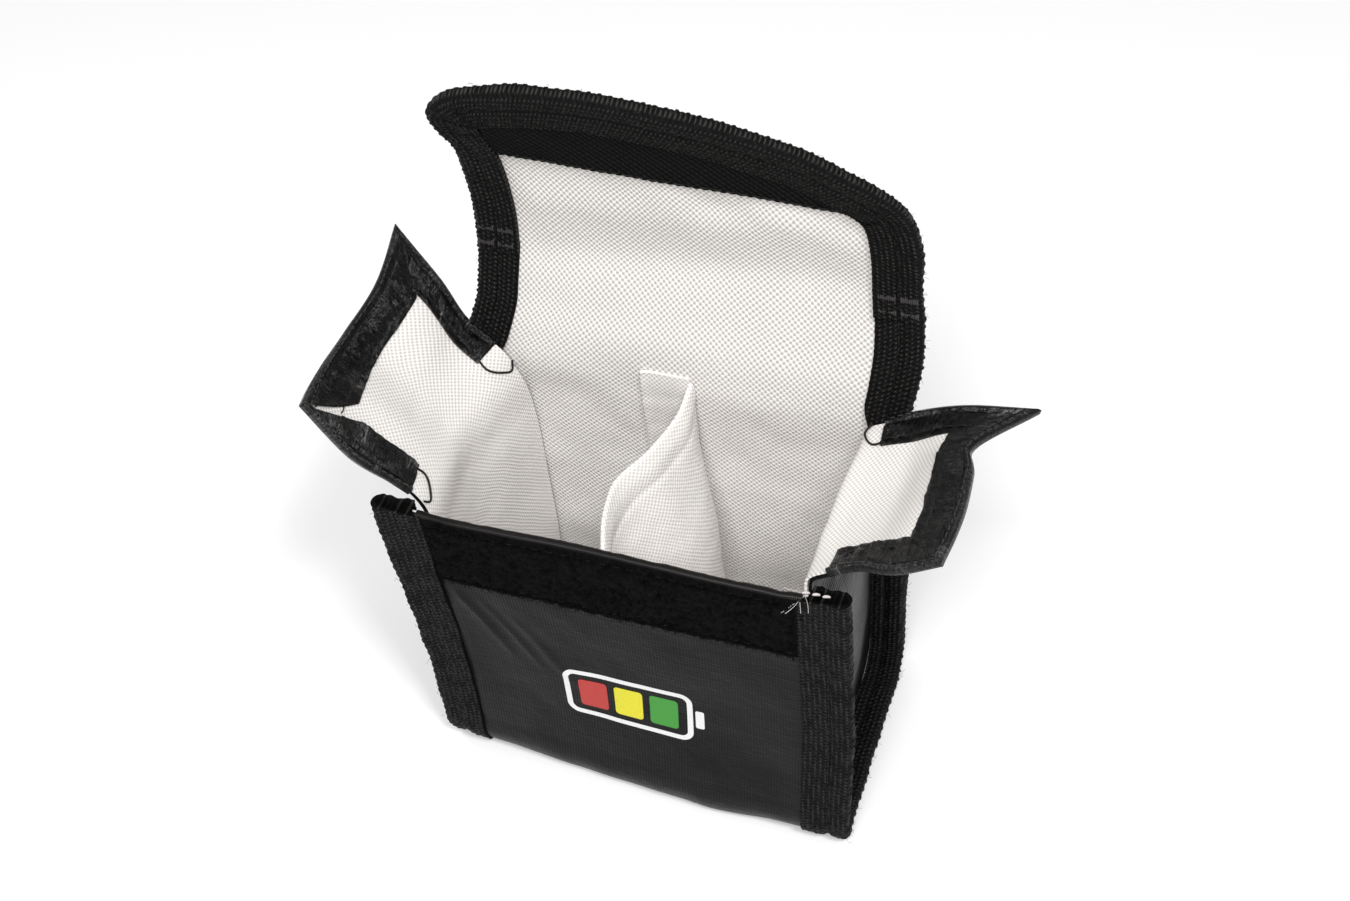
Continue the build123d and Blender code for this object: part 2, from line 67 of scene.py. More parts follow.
def noise(u, v, cell, seed):
    """Smooth value noise from -1 to 1, one value per cell of the given size."""
    table = np.random.default_rng(seed).uniform(-1, 1, (64, 64))
    u = np.asarray(u, float) / cell + 7.3
    v = np.asarray(v, float) / cell + 3.1
    i, j = np.floor(u).astype(int), np.floor(v).astype(int)
    a, b = u - i, v - j
    a, b = a * a * (3 - 2 * a), b * b * (3 - 2 * b)
    t = lambda p, q: table[p % 64, q % 64]
    low = t(i, j) * (1 - a) + t(i + 1, j) * a
    high = t(i, j + 1) * (1 - a) + t(i + 1, j + 1) * a
    return low * (1 - b) + high * b


def rough(u, v, cell, seed, octaves=3):
    total = 0
    for k in range(octaves):
        total = total + noise(u, v, cell / 2 ** k, seed + k) / 2 ** k
    return total


def spline(knots, points, at):
    """Smooth curve through points at the given knots, along the first axis."""
    knots, points, at = np.asarray(knots, float), np.asarray(points, float), np.asarray(at, float)
    n = len(knots)
    slope = np.empty_like(points)
    step = np.diff(knots).reshape((-1,) + (1,) * (points.ndim - 1))
    chord = np.diff(points, axis=0) / step
    slope[0], slope[-1] = chord[0], chord[-1]
    slope[1:-1] = (chord[:-1] * step[1:] + chord[1:] * step[:-1]) / (step[1:] + step[:-1])
    i = np.clip(np.searchsorted(knots, at, side="right") - 1, 0, n - 2)
    h = (knots[i + 1] - knots[i]).reshape((-1,) + (1,) * (points.ndim - 1))
    t = ((at - knots[i]) / (knots[i + 1] - knots[i])).reshape(h.shape)
    t = np.clip(t, 0, 1)
    return (
        (2 * t**3 - 3 * t**2 + 1) * points[i]
        + (t**3 - 2 * t**2 + t) * h * slope[i]
        + (-2 * t**3 + 3 * t**2) * points[i + 1]
        + (t**3 - t**2) * h * slope[i + 1]
    )


def chords(points):
    points = np.asarray(points, float)
    return np.concatenate([[0], np.cumsum(np.linalg.norm(np.diff(points, axis=0), axis=-1))])


def through(points, count):
    """count points on a smooth curve through points, evenly spaced."""
    fine = spline(chords(points), points, np.linspace(0, chords(points)[-1], 400))
    length = chords(fine)
    even = np.linspace(0, length[-1], count)
    return np.stack([np.interp(even, length, fine[:, k]) for k in range(fine.shape[1])], axis=1)


def loft(net, rows, cols):
    """Smooth surface through a net of points, rows x cols."""
    net = np.asarray(net, float)
    down = chords(net[:, net.shape[1] // 2])
    across = chords(net[net.shape[0] // 2])
    tall = spline(down, net, np.linspace(0, down[-1], rows))
    wide = spline(across, np.swapaxes(tall, 0, 1), np.linspace(0, across[-1], cols))
    return np.swapaxes(wide, 0, 1)


def normals(grid):
    du, dv = np.gradient(grid, axis=0), np.gradient(grid, axis=1)
    n = np.cross(du, dv)
    return n / np.maximum(np.linalg.norm(n, axis=-1, keepdims=True), 1e-9)


# ---------------------------------------------------------------- mesh making
def make(name, points, faces, material, flat=None, smooth_angle=50):
    """Mesh object from points in millimetres; flat is each point's place on the flat cloth."""
    mesh = bpy.data.meshes.new(name)
    mesh.from_pydata((np.asarray(points, float) * MM).tolist(), [], [list(map(int, f)) for f in faces])
    if flat is not None:
        layer = mesh.attributes.new("flat", "FLOAT_VECTOR", "POINT")
        layer.data.foreach_set("vector", np.asarray(flat, np.float32).ravel())
    work = bmesh.new()
    work.from_mesh(mesh)
    bmesh.ops.recalc_face_normals(work, faces=work.faces)
    work.to_mesh(mesh)
    work.free()
    mesh.polygons.foreach_set("use_smooth", [True] * len(mesh.polygons))
    mesh.set_sharp_from_angle(angle=math.radians(smooth_angle))
    mesh.materials.append(material)
    mesh.validate()
    obj = bpy.data.objects.new(name, mesh)
    bpy.context.scene.collection.objects.link(obj)
    return obj


def grid_faces(rows, cols, start=0, wrap_cols=False, flip=False):
    """Four-cornered faces over a grid of points, its last column joined to the first if wrap_cols."""
    i = np.arange(rows - 1)[:, None]
    j = np.arange(cols if wrap_cols else cols - 1)[None, :]
    a = start + i * cols + j
    b = a + cols
    c = start + (i + 1) * cols + (j + 1) % cols
    d = start + i * cols + (j + 1) % cols
    corners = (a, d, c, b) if flip else (a, b, c, d)
    return np.stack([np.broadcast_to(q, a.shape) for q in corners], axis=-1).reshape(-1, 4)


def shell(name, grid, up, down, material, flat, smooth_angle=50):
    """Closed sheet: grid moved by up and by down along its normal, joined by a rim."""
    rows, cols = grid.shape[:2]
    n = normals(grid)
    up, down = np.broadcast_to(up, (rows, cols)), np.broadcast_to(down, (rows, cols))
    top = grid + n * up[..., None]
    low = grid + n * down[..., None]
    points = np.concatenate([top.reshape(-1, 3), low.reshape(-1, 3)])
    count = rows * cols
    faces = [grid_faces(rows, cols), grid_faces(rows, cols, start=count, flip=True)]
    index = np.arange(count).reshape(rows, cols)
    loop = np.concatenate([index[0, :-1], index[:-1, -1], index[-1, :0:-1], index[:0:-1, 0]])
    after = np.roll(loop, -1)
    faces.append(np.stack([loop, after, after + count, loop + count], axis=-1))
    both = np.concatenate([flat.reshape(-1, 3), flat.reshape(-1, 3)])
    return make(name, points, np.concatenate(faces), material, both, smooth_angle)


def tube(points, radius, sides=6, taper=0.0):
    """Points and faces of a round tube along a line, closed at both ends."""
    points = np.asarray(points, float)
    n = len(points)
    tangent = np.gradient(points, axis=0)
    tangent /= np.maximum(np.linalg.norm(tangent, axis=1, keepdims=True), 1e-9)
    ref = np.where(np.abs(tangent[:, 2:3]) < 0.9, [[0, 0, 1.0]], [[1.0, 0, 0]])
    a = np.cross(tangent, ref)
    a /= np.linalg.norm(a, axis=1, keepdims=True)
    b = np.cross(tangent, a)
    angle = np.linspace(0, 2 * math.pi, sides, endpoint=False)
    size = radius * (1 - taper * np.abs(np.linspace(-1, 1, n)) ** 4)
    ring = (
        points[:, None]
        + a[:, None] * (np.cos(angle)[None, :, None] * size[:, None, None])
        + b[:, None] * (np.sin(angle)[None, :, None] * size[:, None, None])
    )
    faces = [tuple(f) for f in grid_faces(n, sides, wrap_cols=True, flip=True)]
    faces.append(tuple(range(sides)))
    faces.append(tuple(range(n * sides - 1, (n - 1) * sides - 1, -1)))
    return ring.reshape(-1, 3), faces


def join_parts(parts):
    """Points, faces and flat places of many parts, as those of one mesh."""
    faces, start = [], 0
    for points, part_faces, _ in parts:
        faces += [tuple(i + start for i in face) for face in part_faces]
        start += len(points)
    return np.concatenate([part[0] for part in parts]), faces, np.concatenate([part[2] for part in parts])


def tubes(name, lines, radius, material, sides=6, taper=0.0):
    """One object of many tubes."""
    parts = []
    for k, line in enumerate(lines):
        points, faces = tube(line, radius, sides, taper)
        along = np.repeat(chords(line), sides)
        flat = np.stack([along, np.tile(np.arange(sides), len(line)), np.full(len(points), k)], axis=1)
        parts.append((points, faces, flat))
    points, faces, flat = join_parts(parts)
    return make(name, points, faces, material, flat, 80)


# a stitch's height along its length, in parts of its lift: sunk at the ends, level on top
ARCH = np.array([-1.6, 0.55, 1, 1, 0.55, -1.6])[:, None]


def stitches(name, seams, material, pitch=2.7, gap=0.7, radius=0.19, lift=0.14):
    """Sewn thread along seams, each a line on the cloth and the way its stitches rise from it."""
    runs = []
    for line, up in seams:
        along = chords(line)
        count = max(1, int(along[-1] / pitch))
        step = along[-1] / count
        for k in range(count):
            at = np.linspace(k * step + gap / 2, (k + 1) * step - gap / 2, len(ARCH))
            p = np.stack([np.interp(at, along, line[:, i]) for i in range(3)], axis=1)
            n = np.stack([np.interp(at, along, up[:, i]) for i in range(3)], axis=1)
            runs.append(p + n * (ARCH * lift))
    return tubes(name, runs, radius, material)


# ---------------------------------------------------------------- materials
class Nodes:
    """Short-hand for building one procedural material."""

    def __init__(self, name):
        self.material = bpy.data.materials.new(name)
        self.material.use_nodes = True
        self.tree = self.material.node_tree
        self.bsdf = self.tree.nodes["Principled BSDF"]
        place = self.add("ShaderNodeAttribute", attribute_name="flat")
        self.flat = place.outputs["Vector"]
        split = self.add("ShaderNodeSeparateXYZ")
        self.join(self.flat, split.inputs[0])
        self.u, self.v, self.w = split.outputs

    def add(self, kind, **settings):
        node = self.tree.nodes.new(kind)
        for key, value in settings.items():
            setattr(node, key, value)
        return node

    def join(self, a, b):
        self.tree.links.new(a, b)

    def put(self, value, socket):
        if isinstance(value, bpy.types.NodeSocket):
            self.join(value, socket)
        else:
            socket.default_value = value

    def math(self, operation, *values):
        node = self.add("ShaderNodeMath", operation=operation)
        for value, socket in zip(values, node.inputs):
            self.put(value, socket)
        return node.outputs[0]

    def vector(self, x, y, z=0.0):
        node = self.add("ShaderNodeCombineXYZ")
        for value, socket in zip((x, y, z), node.inputs):
            self.put(value, socket)
        return node.outputs[0]

    def wave(self, value, period, phase=0.0):
        """From 0 to 1 and back, once each period of millimetres."""
        turn = self.math("MULTIPLY_ADD", value, 2 * math.pi / period, phase)
        return self.math("MULTIPLY_ADD", self.math("COSINE", turn), 0.5, 0.5)

    def noise(self, scale, detail=2.0, vector=None, rough=0.5):
        """Noise with about scale features to the millimetre."""
        node = self.add("ShaderNodeTexNoise")
        self.join(vector or self.flat, node.inputs["Vector"])
        node.inputs["Scale"].default_value = scale
        node.inputs["Detail"].default_value = detail
        node.inputs["Roughness"].default_value = rough
        return node.outputs["Fac"]

    def ramp(self, value, stops):
        node = self.add("ShaderNodeValToRGB")
        self.join(value, node.inputs[0])
        points = node.color_ramp.elements
        while len(points) < len(stops):
            points.new(0.5)
        for point, (at, colour) in zip(points, stops):
            point.position = at
            point.color = (*colour, 1) if len(colour) == 3 else colour
        return node.outputs[0]

    def remap(self, value, low, high, to_low, to_high):
        node = self.add("ShaderNodeMapRange")
        for v, s in zip((value, low, high, to_low, to_high), node.inputs):
            self.put(v, s)
        return node.outputs[0]

    def bump(self, height, distance, strength=1.0, after=None):
        node = self.add("ShaderNodeBump")
        node.inputs["Strength"].default_value = strength
        node.inputs["Distance"].default_value = distance * MM
        self.join(height, node.inputs["Height"])
        if after is not None:
            self.join(after, node.inputs["Normal"])
        return node.outputs[0]

    def finish(self, **sockets):
        for key, value in sockets.items():
            self.put(value, self.bsdf.inputs[key.replace("_", " ")])
        return self.material


def grey(value, warm=0.0):
    return (value * (1 + warm), value, value * (1 - warm))


GLASS_WHITE, GLASS_CROWN = 0.79, 0.88
GLASS_SCATTER = (0.6 * MM, 0.6 * MM, 0.5 * MM)


def glass_cloth(name, pitch, dark, depth, darkening=None):
    """White glass-fibre plain weave: raised crowns in staggered rows, grey gaps between.

    The last argument gives where, in millimetres along the cloth, it begins and ends turning from painted
    light, which lifts the cloth low in the bag where it is shaded, to painted shade higher up, where more
    light falls."""
    n = Nodes(name)
    drift = n.noise(0.06, 2)
    u = n.math("MULTIPLY_ADD", drift, 1.6, n.u)
    v = n.math("MULTIPLY_ADD", n.noise(0.05, 2), 1.3, n.v)
    cu = n.math("COSINE", n.math("MULTIPLY", u, 2 * math.pi / pitch))
    cv = n.math("COSINE", n.math("MULTIPLY", v, 2 * math.pi / pitch))
    weave = n.math("MULTIPLY_ADD", n.math("MULTIPLY", cu, cv), 0.5, 0.5)
    grime = n.noise(0.045, 3)
    fibre = n.noise(3.2, 2)
    tone = n.math("MULTIPLY_ADD", grime, 0.14, n.math("MULTIPLY", weave, 0.9))
    tone = n.math("MULTIPLY_ADD", fibre, 0.10, tone)
    # painted light and shade: the tone is raised low on the cloth and lowered higher up
    if darkening:
        tone = n.math("ADD", tone, n.remap(n.v, darkening[0], darkening[1], 0.20, -0.12))
    gaps = [(0.12, grey(dark, 0.045)), (0.36, grey((dark + GLASS_WHITE) / 2, 0.040))]
    crowns = [(0.58, grey(GLASS_WHITE, 0.032)), (0.95, grey(GLASS_CROWN, 0.024))]
    colour = n.ramp(tone, gaps + crowns)
    normal = n.bump(weave, depth, 0.85)
    normal = n.bump(fibre, 0.03, 0.5, after=normal)
    return n.finish(
        Base_Color=colour,
        Roughness=n.remap(weave, 0, 1, 0.62, 0.40),
        Normal=normal,
        Subsurface_Weight=0.06,
        Subsurface_Radius=GLASS_SCATTER,
    )


COATED_RIB = 0.68
RIPSTOP, RIPSTOP_EDGE = 3.1, 14.0


def coated_cloth(name, gloss, crinkle):
    """Black coated ripstop: fine upright ribs, a faint square grid, soft crinkles in the coating."""
    n = Nodes(name)
    shift = n.math("MULTIPLY", n.noise(0.05, 2), 1.2)
    ribs = n.wave(n.math("ADD", n.u, shift), COATED_RIB)
    cross = n.wave(n.math("ADD", n.v, shift), COATED_RIB * 1.35)
    upright, level = (n.math("POWER", n.wave(along, RIPSTOP), RIPSTOP_EDGE) for along in (n.u, n.v))
    grid = n.math("MAXIMUM", upright, level)
    fold = n.noise(0.22, 4, rough=0.6)
    height = n.math("MULTIPLY_ADD", cross, 0.25, ribs)
    height = n.math("MULTIPLY_ADD", grid, 0.5, height)
    normal = n.bump(fold, 0.9 * crinkle, 0.5)
    normal = n.bump(height, 0.065, 0.7, after=normal)
    scuff = n.noise(0.5, 5, rough=0.65)
    colour = n.ramp(scuff, [(0.3, grey(0.0030, 0.02)), (0.62, grey(0.0055, 0.01)), (0.9, grey(0.014))])
    return n.finish(
        Base_Color=colour,
        Roughness=n.remap(scuff, 0.2, 0.9, gloss, gloss + 0.16),
        Normal=normal,
        Specular_IOR_Level=0.11,
    )


def hem_cloth():
    """Glossy black coated cloth, drawn into close wrinkles where it is turned and sewn."""
    n = Nodes("ear_hem_cloth")
    stretched = n.vector(n.math("MULTIPLY", n.u, 1.9), n.math("MULTIPLY", n.v, 0.30), n.w)
    wrinkle = n.noise(0.62, 4, vector=stretched, rough=0.6)
    fine = n.wave(n.u, 0.7)
    normal = n.bump(wrinkle, 1.4, 0.9)
    normal = n.bump(fine, 0.05, 0.6, after=normal)
    # painted highlight: short grey streaks across the hem, in patches, painted into the colour to stand in
    # for gloss on its wrinkles
    highlight_patch = n.remap(n.noise(0.075, 2), 0.51, 0.62, 0.0, 1.0)
    across = n.vector(n.math("MULTIPLY", n.u, 1.6), n.math("MULTIPLY", n.v, 0.42), n.w)
    highlight_streaks = n.remap(n.noise(1.05, 4, vector=across, rough=0.7), 0.42, 0.66, 0.0, 1.0)
    painted_highlight = n.math("MULTIPLY", highlight_patch, highlight_streaks)
    tones = [(0.0, 0.0020), (0.15, 0.004), (0.45, 0.030), (0.8, 0.11)]
    colour = n.ramp(painted_highlight, [(at, grey(tone)) for at, tone in tones])
    return n.finish(
        Base_Color=colour,
        Roughness=n.remap(wrinkle, 0.2, 0.8, 0.12, 0.25),
        Normal=normal,
        Specular_IOR_Level=0.30,
    )


def tape_cloth():
    """Black ribbed edge tape; the ribs are in the mesh, the yarns in them are here, their crowns with a
    painted highlight.
    """
    n = Nodes("binding_tape")
    yarn = n.math("MULTIPLY", n.wave(n.u, 1.15), n.wave(n.math("MULTIPLY_ADD", n.u, 0.5, n.v), 1.0))
    fuzz = n.noise(2.2, 4, rough=0.7)
    height = n.math("MULTIPLY_ADD", fuzz, 0.6, yarn)
    # the tone follows the yarns and the fuzz; the lighter yarn crowns are a painted highlight for the glints
    # on the tape
    tone = n.math("MULTIPLY_ADD", yarn, 0.55, n.math("MULTIPLY", fuzz, 0.45))
    colour = n.ramp(tone, [(0.14, grey(0.0006)), (0.5, grey(0.0045, 0.05)), (0.80, grey(0.042, 0.05))])
    return n.finish(
        Base_Color=colour,
        Roughness=0.60,
        Normal=n.bump(height, 0.28, 0.9),
        Specular_IOR_Level=0.12,
    )


def pile_cloth():
    """Matt black loop pile, in small clumps."""
    n = Nodes("loop_pile")
    clump = n.noise(0.9, 4, rough=0.7)
    colour = n.ramp(clump, [(0.35, grey(0.0020)), (0.6, grey(0.0045)), (0.85, grey(0.012))])
    return n.finish(
        Base_Color=colour,
        Roughness=0.92,
        Normal=n.bump(clump, 0.5, 0.9),
        Specular_IOR_Level=0.05,
    )


HOOK_SLANT, HOOK_RIB = 1.1, 1.9


def hook_cloth():
    """Black hook tape with slanting ribs of stubby hooks."""
    n = Nodes("hook_tape")
    slant = n.math("ADD", n.u, n.math("MULTIPLY", n.v, HOOK_SLANT))
    rib = n.wave(slant, HOOK_RIB)
    stub = n.wave(n.v, 0.8)
    height = n.math("MULTIPLY", rib, n.math("MULTIPLY_ADD", stub, 0.5, 0.5))
    colour = n.ramp(height, [(0.1, grey(0.0008)), (0.6, grey(0.0035, 0.03)), (0.95, grey(0.010, 0.03))])
    return n.finish(
        Base_Color=colour,
        Roughness=0.62,
        Normal=n.bump(height, 0.35, 0.8),
        Specular_IOR_Level=0.09,
    )


def thread(name, colour, roughness=0.55):
    """Twisted sewing thread."""
    n = Nodes(name)
    twist = n.wave(n.math("MULTIPLY_ADD", n.v, 0.12, n.u), 0.42)
    tone = n.math("MULTIPLY_ADD", n.noise(1.7, 2), 0.5, n.math("MULTIPLY", twist, 0.5))
    dark = tuple(c * 0.55 for c in colour)
    return n.finish(
        Base_Color=n.ramp(tone, [(0.2, dark), (0.8, colour)]),
        Roughness=roughness,
        Normal=n.bump(twist, 0.05, 0.7),
        Specular_IOR_Level=0.25,
    )


def ink(name, colour):
    """Screen ink over ribbed cloth: thin, slightly broken on the ribs."""
    n = Nodes(name)
    rib = n.wave(n.u, COATED_RIB)
    wear = n.noise(0.9, 4, rough=0.7)
    tone = n.math("MULTIPLY_ADD", rib, 0.22, n.math("MULTIPLY", wear, 0.9))
    darkening = tuple(c * 0.72 for c in colour)
    return n.finish(
        Base_Color=n.ramp(tone, [(0.22, darkening), (0.46, colour)]),
        Roughness=0.5,
        Normal=n.bump(rib, 0.03, 0.5),
    )


FINE_PITCH, LINING_PITCH = 1.16, 1.36
GLASS_FINE = glass_cloth("glass_cloth_fine", FINE_PITCH, 0.58, 0.14)
# the gusset lining is painted lighter inside the bag and painted darker up on the ears, as painted light and
# shade
GLASS_GUSSET = glass_cloth("glass_cloth_gusset", FINE_PITCH, 0.52, 0.16, darkening=(62, 92))
COATED = coated_cloth("coated_cloth", 0.36, 0.55)
COATED_SIDE = coated_cloth("coated_cloth_side", 0.28, 1.0)
HEM = hem_cloth()
TAPE = tape_cloth()
PILE = pile_cloth()
HOOK = hook_cloth()
THREAD = thread("thread_black", (0.012, 0.011, 0.011))
THREAD_WHITE = thread("thread_white", (0.80, 0.74, 0.74))
MOUTH_HEM = thread("hem_gold", (0.0062, 0.0045, 0.0042), 0.34)
THREAD_GREY = thread("thread_grey", (0.060, 0.055, 0.056))
INKS = {
    "white": ink("ink_white", (0.72, 0.72, 0.72)),
    "red": ink("ink_red", (0.42, 0.016, 0.010)),
    "yellow": ink("ink_yellow", (0.66, 0.60, 0.006)),
    "green": ink("ink_green", (0.025, 0.25, 0.015)),
}

# ---------------------------------------------------------------- the bag's own shape
# Millimetres. HALF_WIDTH is over the edge tapes; the heights are where the lid creases, where the
# side tapes end under the tip tape, where the hook strip begins and where the tongue turns down.
HALF_WIDTH = 50.0
FLOOR_GAP = 0.05
Z_CREASE, Z_JOIN, Z_HOOK, Z_TONGUE = 84.5, 107.4, 131.6, 140
BACK_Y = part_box("outer_shell")[1][1] / MM

# Path of the outermost face in the YZ plane, from the front mouth down, under the base,
# up the back and over the open lid to its tip.
FRONT_PATH = [(-24.9, 81.6), (-25.2, 66), (-26.1, 46), (-27.4, 28), (-28.6, 13.5), (-28.6, 5.0), (-26.8, 1.4)]
BASE_PATH = [(-21.6, 0.3), (-14, 0.1), (-7, 0.1), (7, 0.1), (14.5, 0.25), (20.0, 1.9), (23.4, 6.2)]
BACK_PATH = [(24.6, 13.5), (24.8, 28), (24.8, 50), (24.5, 72), (BACK_Y, Z_CREASE), (26.0, 91), (29.7, 99)]
LID_PATH = [(33.2, 107.5), (35.2, 117), (35.5, 126), (34.9, 134), (33.4, 142), (31.0, 150), (28.0, 158.5)]
PATH = np.array(FRONT_PATH + BASE_PATH + BACK_PATH + LID_PATH, float)
PATH_FINE = spline(chords(PATH), PATH, np.linspace(0, chords(PATH)[-1], 3000))
PATH_S = chords(PATH_FINE)
S_END = PATH_S[-1]
heading = np.gradient(PATH_FINE, axis=0)
heading /= np.linalg.norm(heading, axis=1, keepdims=True)
PATH_OUT = np.stack([heading[:, 1], -heading[:, 0]], axis=1)
S_UP_BACK = 130


def s_at(z, part):
    """Arc length at which the path passes height z; part is front or back, the back being the lid too."""
    mid = np.argmin(PATH_FINE[:, 1])
    if part == "front":
        return float(np.interp(-z, -PATH_FINE[:mid, 1], PATH_S[:mid]))
    later = np.searchsorted(PATH_S, S_UP_BACK)
    return float(np.interp(z, PATH_FINE[later:, 1], PATH_S[later:]))


S_MOUTH = s_at(Z_CREASE, "back")
S_JOIN = s_at(Z_JOIN, "back")
S_LINING_TOP = s_at(Z_HOOK, "back")
S_TONGUE = s_at(Z_TONGUE, "back")
# the lining is painted lighter low in the bag and painted darker on the lid, as painted light and shade
GLASS = glass_cloth("glass_cloth", LINING_PITCH, 0.42, 0.22, darkening=(S_JOIN - 48, S_JOIN - 12))


# Folds drawn in below the closure strip, beside the left tape: x where each crosses
# s = FOLD_FROM, its lean, the s of its top, its depth and its width.
FOLD_FROM = 24
FOLDS = [(-35.5, 0.42, 24, 0.75, 1.3), (-31.8, 0.55, 26, 0.42, 1.0), (-27.5, 0.6, 30, 0.3, 1.4)]
CROWN_HALF = 46.0


def swell(x, s):
    """How far the cloth stands out from the path: sag, folds and slack."""
    ax = np.abs(x)
    slack = 1 - ease(34, 43, ax)
    front = 1 - ease(78, 90, s)
    back = ease(140, 150, s) * (1 - ease(S_MOUTH - 6, S_MOUTH + 4, s))
    lid = ease(S_MOUTH, S_MOUTH + 10, s)
    crown = 1 - (x / CROWN_HALF) ** 2
    belly = 1.9 * crown * hump(s, 80, 15) + 0.9 * crown * hump(s, 128, 18) * (s > 100)
    wave = 0.55 * rough(x, s, 24, 11) * slack * (front + back)
    fold = 0.0
    for at, lean, top, deep, wide in FOLDS:
        shown = ease(top - 4, top + 2, s) * (1 - ease(top + 10, top + 22, s))
        fold = fold + deep * hump(x, at + lean * (s - FOLD_FROM), wide) * shown
    dent = -0.8 * hump(x, -33, 7) * hump(s, 42, 16) - 0.5 * hump(x, 31, 8) * hump(s, 60, 20)
    band = 0.9 * hump(s, S_JOIN + 3 + 0.06 * x, 5) - 0.8 * hump(s, S_JOIN + 15 + 0.05 * x, 5)
    flap = lid * slack * (0.45 * rough(x, s, 30, 21) + band)
    puckered = hump(s, S_LINING_TOP - 5, 3.2) * np.sin(x / 6.0 + 1.2 * np.sin(x / 15.0)) * ease(-30, 30, x)
    flap = flap + lid * slack * 0.8 * puckered
    return belly * ease(-1, 4, CROWN_HALF - ax) + wave + slack * front * (fold + dent) + flap


def bag_point(x, s, n):
    """Point at x across, s along the path and n outward from the bag's outermost face."""
    x, s, n = np.broadcast_arrays(np.asarray(x, float), np.asarray(s, float), np.asarray(n, float))
    y = np.interp(s, PATH_S, PATH_FINE[:, 0])
    z = np.interp(s, PATH_S, PATH_FINE[:, 1])
    oy = np.interp(s, PATH_S, PATH_OUT[:, 0])
    oz = np.interp(s, PATH_S, PATH_OUT[:, 1])
    size = np.hypot(oy, oz)
    oy, oz = oy / size, oz / size
    out = n + swell(x, s)
    y, z = y + oy * out, z + oz * out
    beyond = np.maximum(s - S_END, 0)
    y, z = y - 0.42 * beyond, z + 0.9 * beyond
    # the mouth stands open a little wider on the left
    body = 1 - ease(S_MOUTH - 4, S_MOUTH + 14, s)
    wide = ease(25, 84, z) * body
    in_front = 1 - ease(-12, 12, y)
    x = x + np.where(x < 0, -2.1 - 2.8 * in_front, -0.8) * wide * (np.abs(x) / HALF_WIDTH)
    y = y - 2.1 * (x / HALF_WIDTH) * in_front * (1 - ease(4, 60, z))
    # the open lid hangs a little to the right, is raised at its left corner and curls forward at both
    risen = ease(S_MOUTH, S_MOUTH + 14, s)
    pulled = ease(S_JOIN - 10, S_JOIN + 8, s)
    x = x + np.where(x < 0, 1.9, 0.7 - 1.6 * pulled) * risen * (np.abs(x) / HALF_WIDTH)
    z = z - 1.2 * (x / HALF_WIDTH) * ease(S_JOIN - 12, S_LINING_TOP, s)
    curl = ease(S_TONGUE - 12, S_TONGUE + 8, s) * (np.abs(x) / HALF_WIDTH) ** 2.4
    y = y - 3.4 * curl
    return np.stack([x, y, np.maximum(z, FLOOR_GAP)], axis=-1)


def cloth_grid(xs, ss, n):
    x, s = np.meshgrid(xs, ss)
    return bag_point(x, s, n), np.stack([x, s, np.zeros_like(x)], axis=-1)


def span(xs, low, top, rows, n):
    """Cloth between the level s = low and its upper edge, top being the s of that edge at each x."""
    x, q = np.meshgrid(xs, np.linspace(0, 1, rows))
    s = low + q * (top - low)
    return bag_point(x, s, n), np.stack([x, s, 0 * x], axis=-1)


def seam(x, s, level, toward=1):
    """A line to sew along on the bag, and the way that its stitches rise: 1 outward, -1 inward."""
    line = bag_point(x, s, level)
    return line, toward * (bag_point(x, s, level + 1) - line)


def on_bag(obj):
    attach(obj, "bag")


def over_lid(obj):
    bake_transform(obj)


def over_tongue(obj):
    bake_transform(obj)


def settle(obj, slot, carry, *nodes):
    """Names the CAD solids that a piece stands for, which it hides, and what carries it; slot, its material
    slot, is not used.
    """
    if nodes:
        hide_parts(*nodes)
    carry(obj)


# ---------------------------------------------------------------- outline of the lid's tip
# (x, height along the lid), from the left side tape over the arch to the right one
TIP_Z = [(-50.4, 100), (-50.8, 118), (-52.4, 130), (-54.2, 138), (-54.0, 144.4), (-49.4, 149.6), (-39, 153.0),
         (-26, 154.7), (-13, 154.9), (0, 153.7), (13, 151.1), (26, 147.7), (36, 143.2), (42.2, 139.6),
         (46.2, 135.6), (48.2, 131.0), (49.4, 125), (50.0, 117), (50.4, 100)]


TIP = through(np.array([(x, s_at(z, "back")) for x, z in TIP_Z]), 420)
LEAST_SLOPE = 0.35
TIP_ARCH = TIP[np.gradient(TIP[:, 0]) > LEAST_SLOPE * np.hypot(*np.gradient(TIP, axis=0).T)]


def tip_s(x, inset=0.0):
    """Arc length of the lid's free edge at x."""
    return np.interp(x, TIP_ARCH[:, 0], TIP_ARCH[:, 1]) - inset


# outer cloth: front, base, back and the lower half of the lid, then the upper half
S_OUTER_TOP = S_JOIN + 3
OUTER_HALF, TONGUE_HALF, LINING_HALF = 47, 45, 44
xs = np.linspace(-OUTER_HALF, OUTER_HALF, 128)
grid, flat = cloth_grid(xs, np.linspace(0.4, S_OUTER_TOP, 300), 0.0)
depth = -0.3 - 0.45 * ease(38, 41, np.abs(xs))[None, :]
outer = shell("outer_cloth", grid, depth, depth - 0.6, COATED, flat)
settle(outer, "coated_cloth", over_lid, "outer_shell", "lid_outer")

xs = np.linspace(-TONGUE_HALF, TONGUE_HALF, 100)
grid, flat = span(xs, S_OUTER_TOP, tip_s(xs, 4.5), 90, 0.0)
tongue_back = shell("tongue_outer_cloth", grid, -0.5, -1.2, COATED, flat)
settle(tongue_back, "coated_cloth", over_tongue, "tongue_outer")

# lining: front, base, back and lid up to the hook strip
xs = np.linspace(-LINING_HALF, LINING_HALF, 110)
grid, flat = cloth_grid(xs, np.linspace(0.6, S_LINING_TOP + 2.5, 300), 0.0)
lining = shell("lining_cloth", grid, -1.45, -1.95, GLASS, flat)
settle(lining, "glass_cloth", over_lid, "lining_shell", "lid_lining")


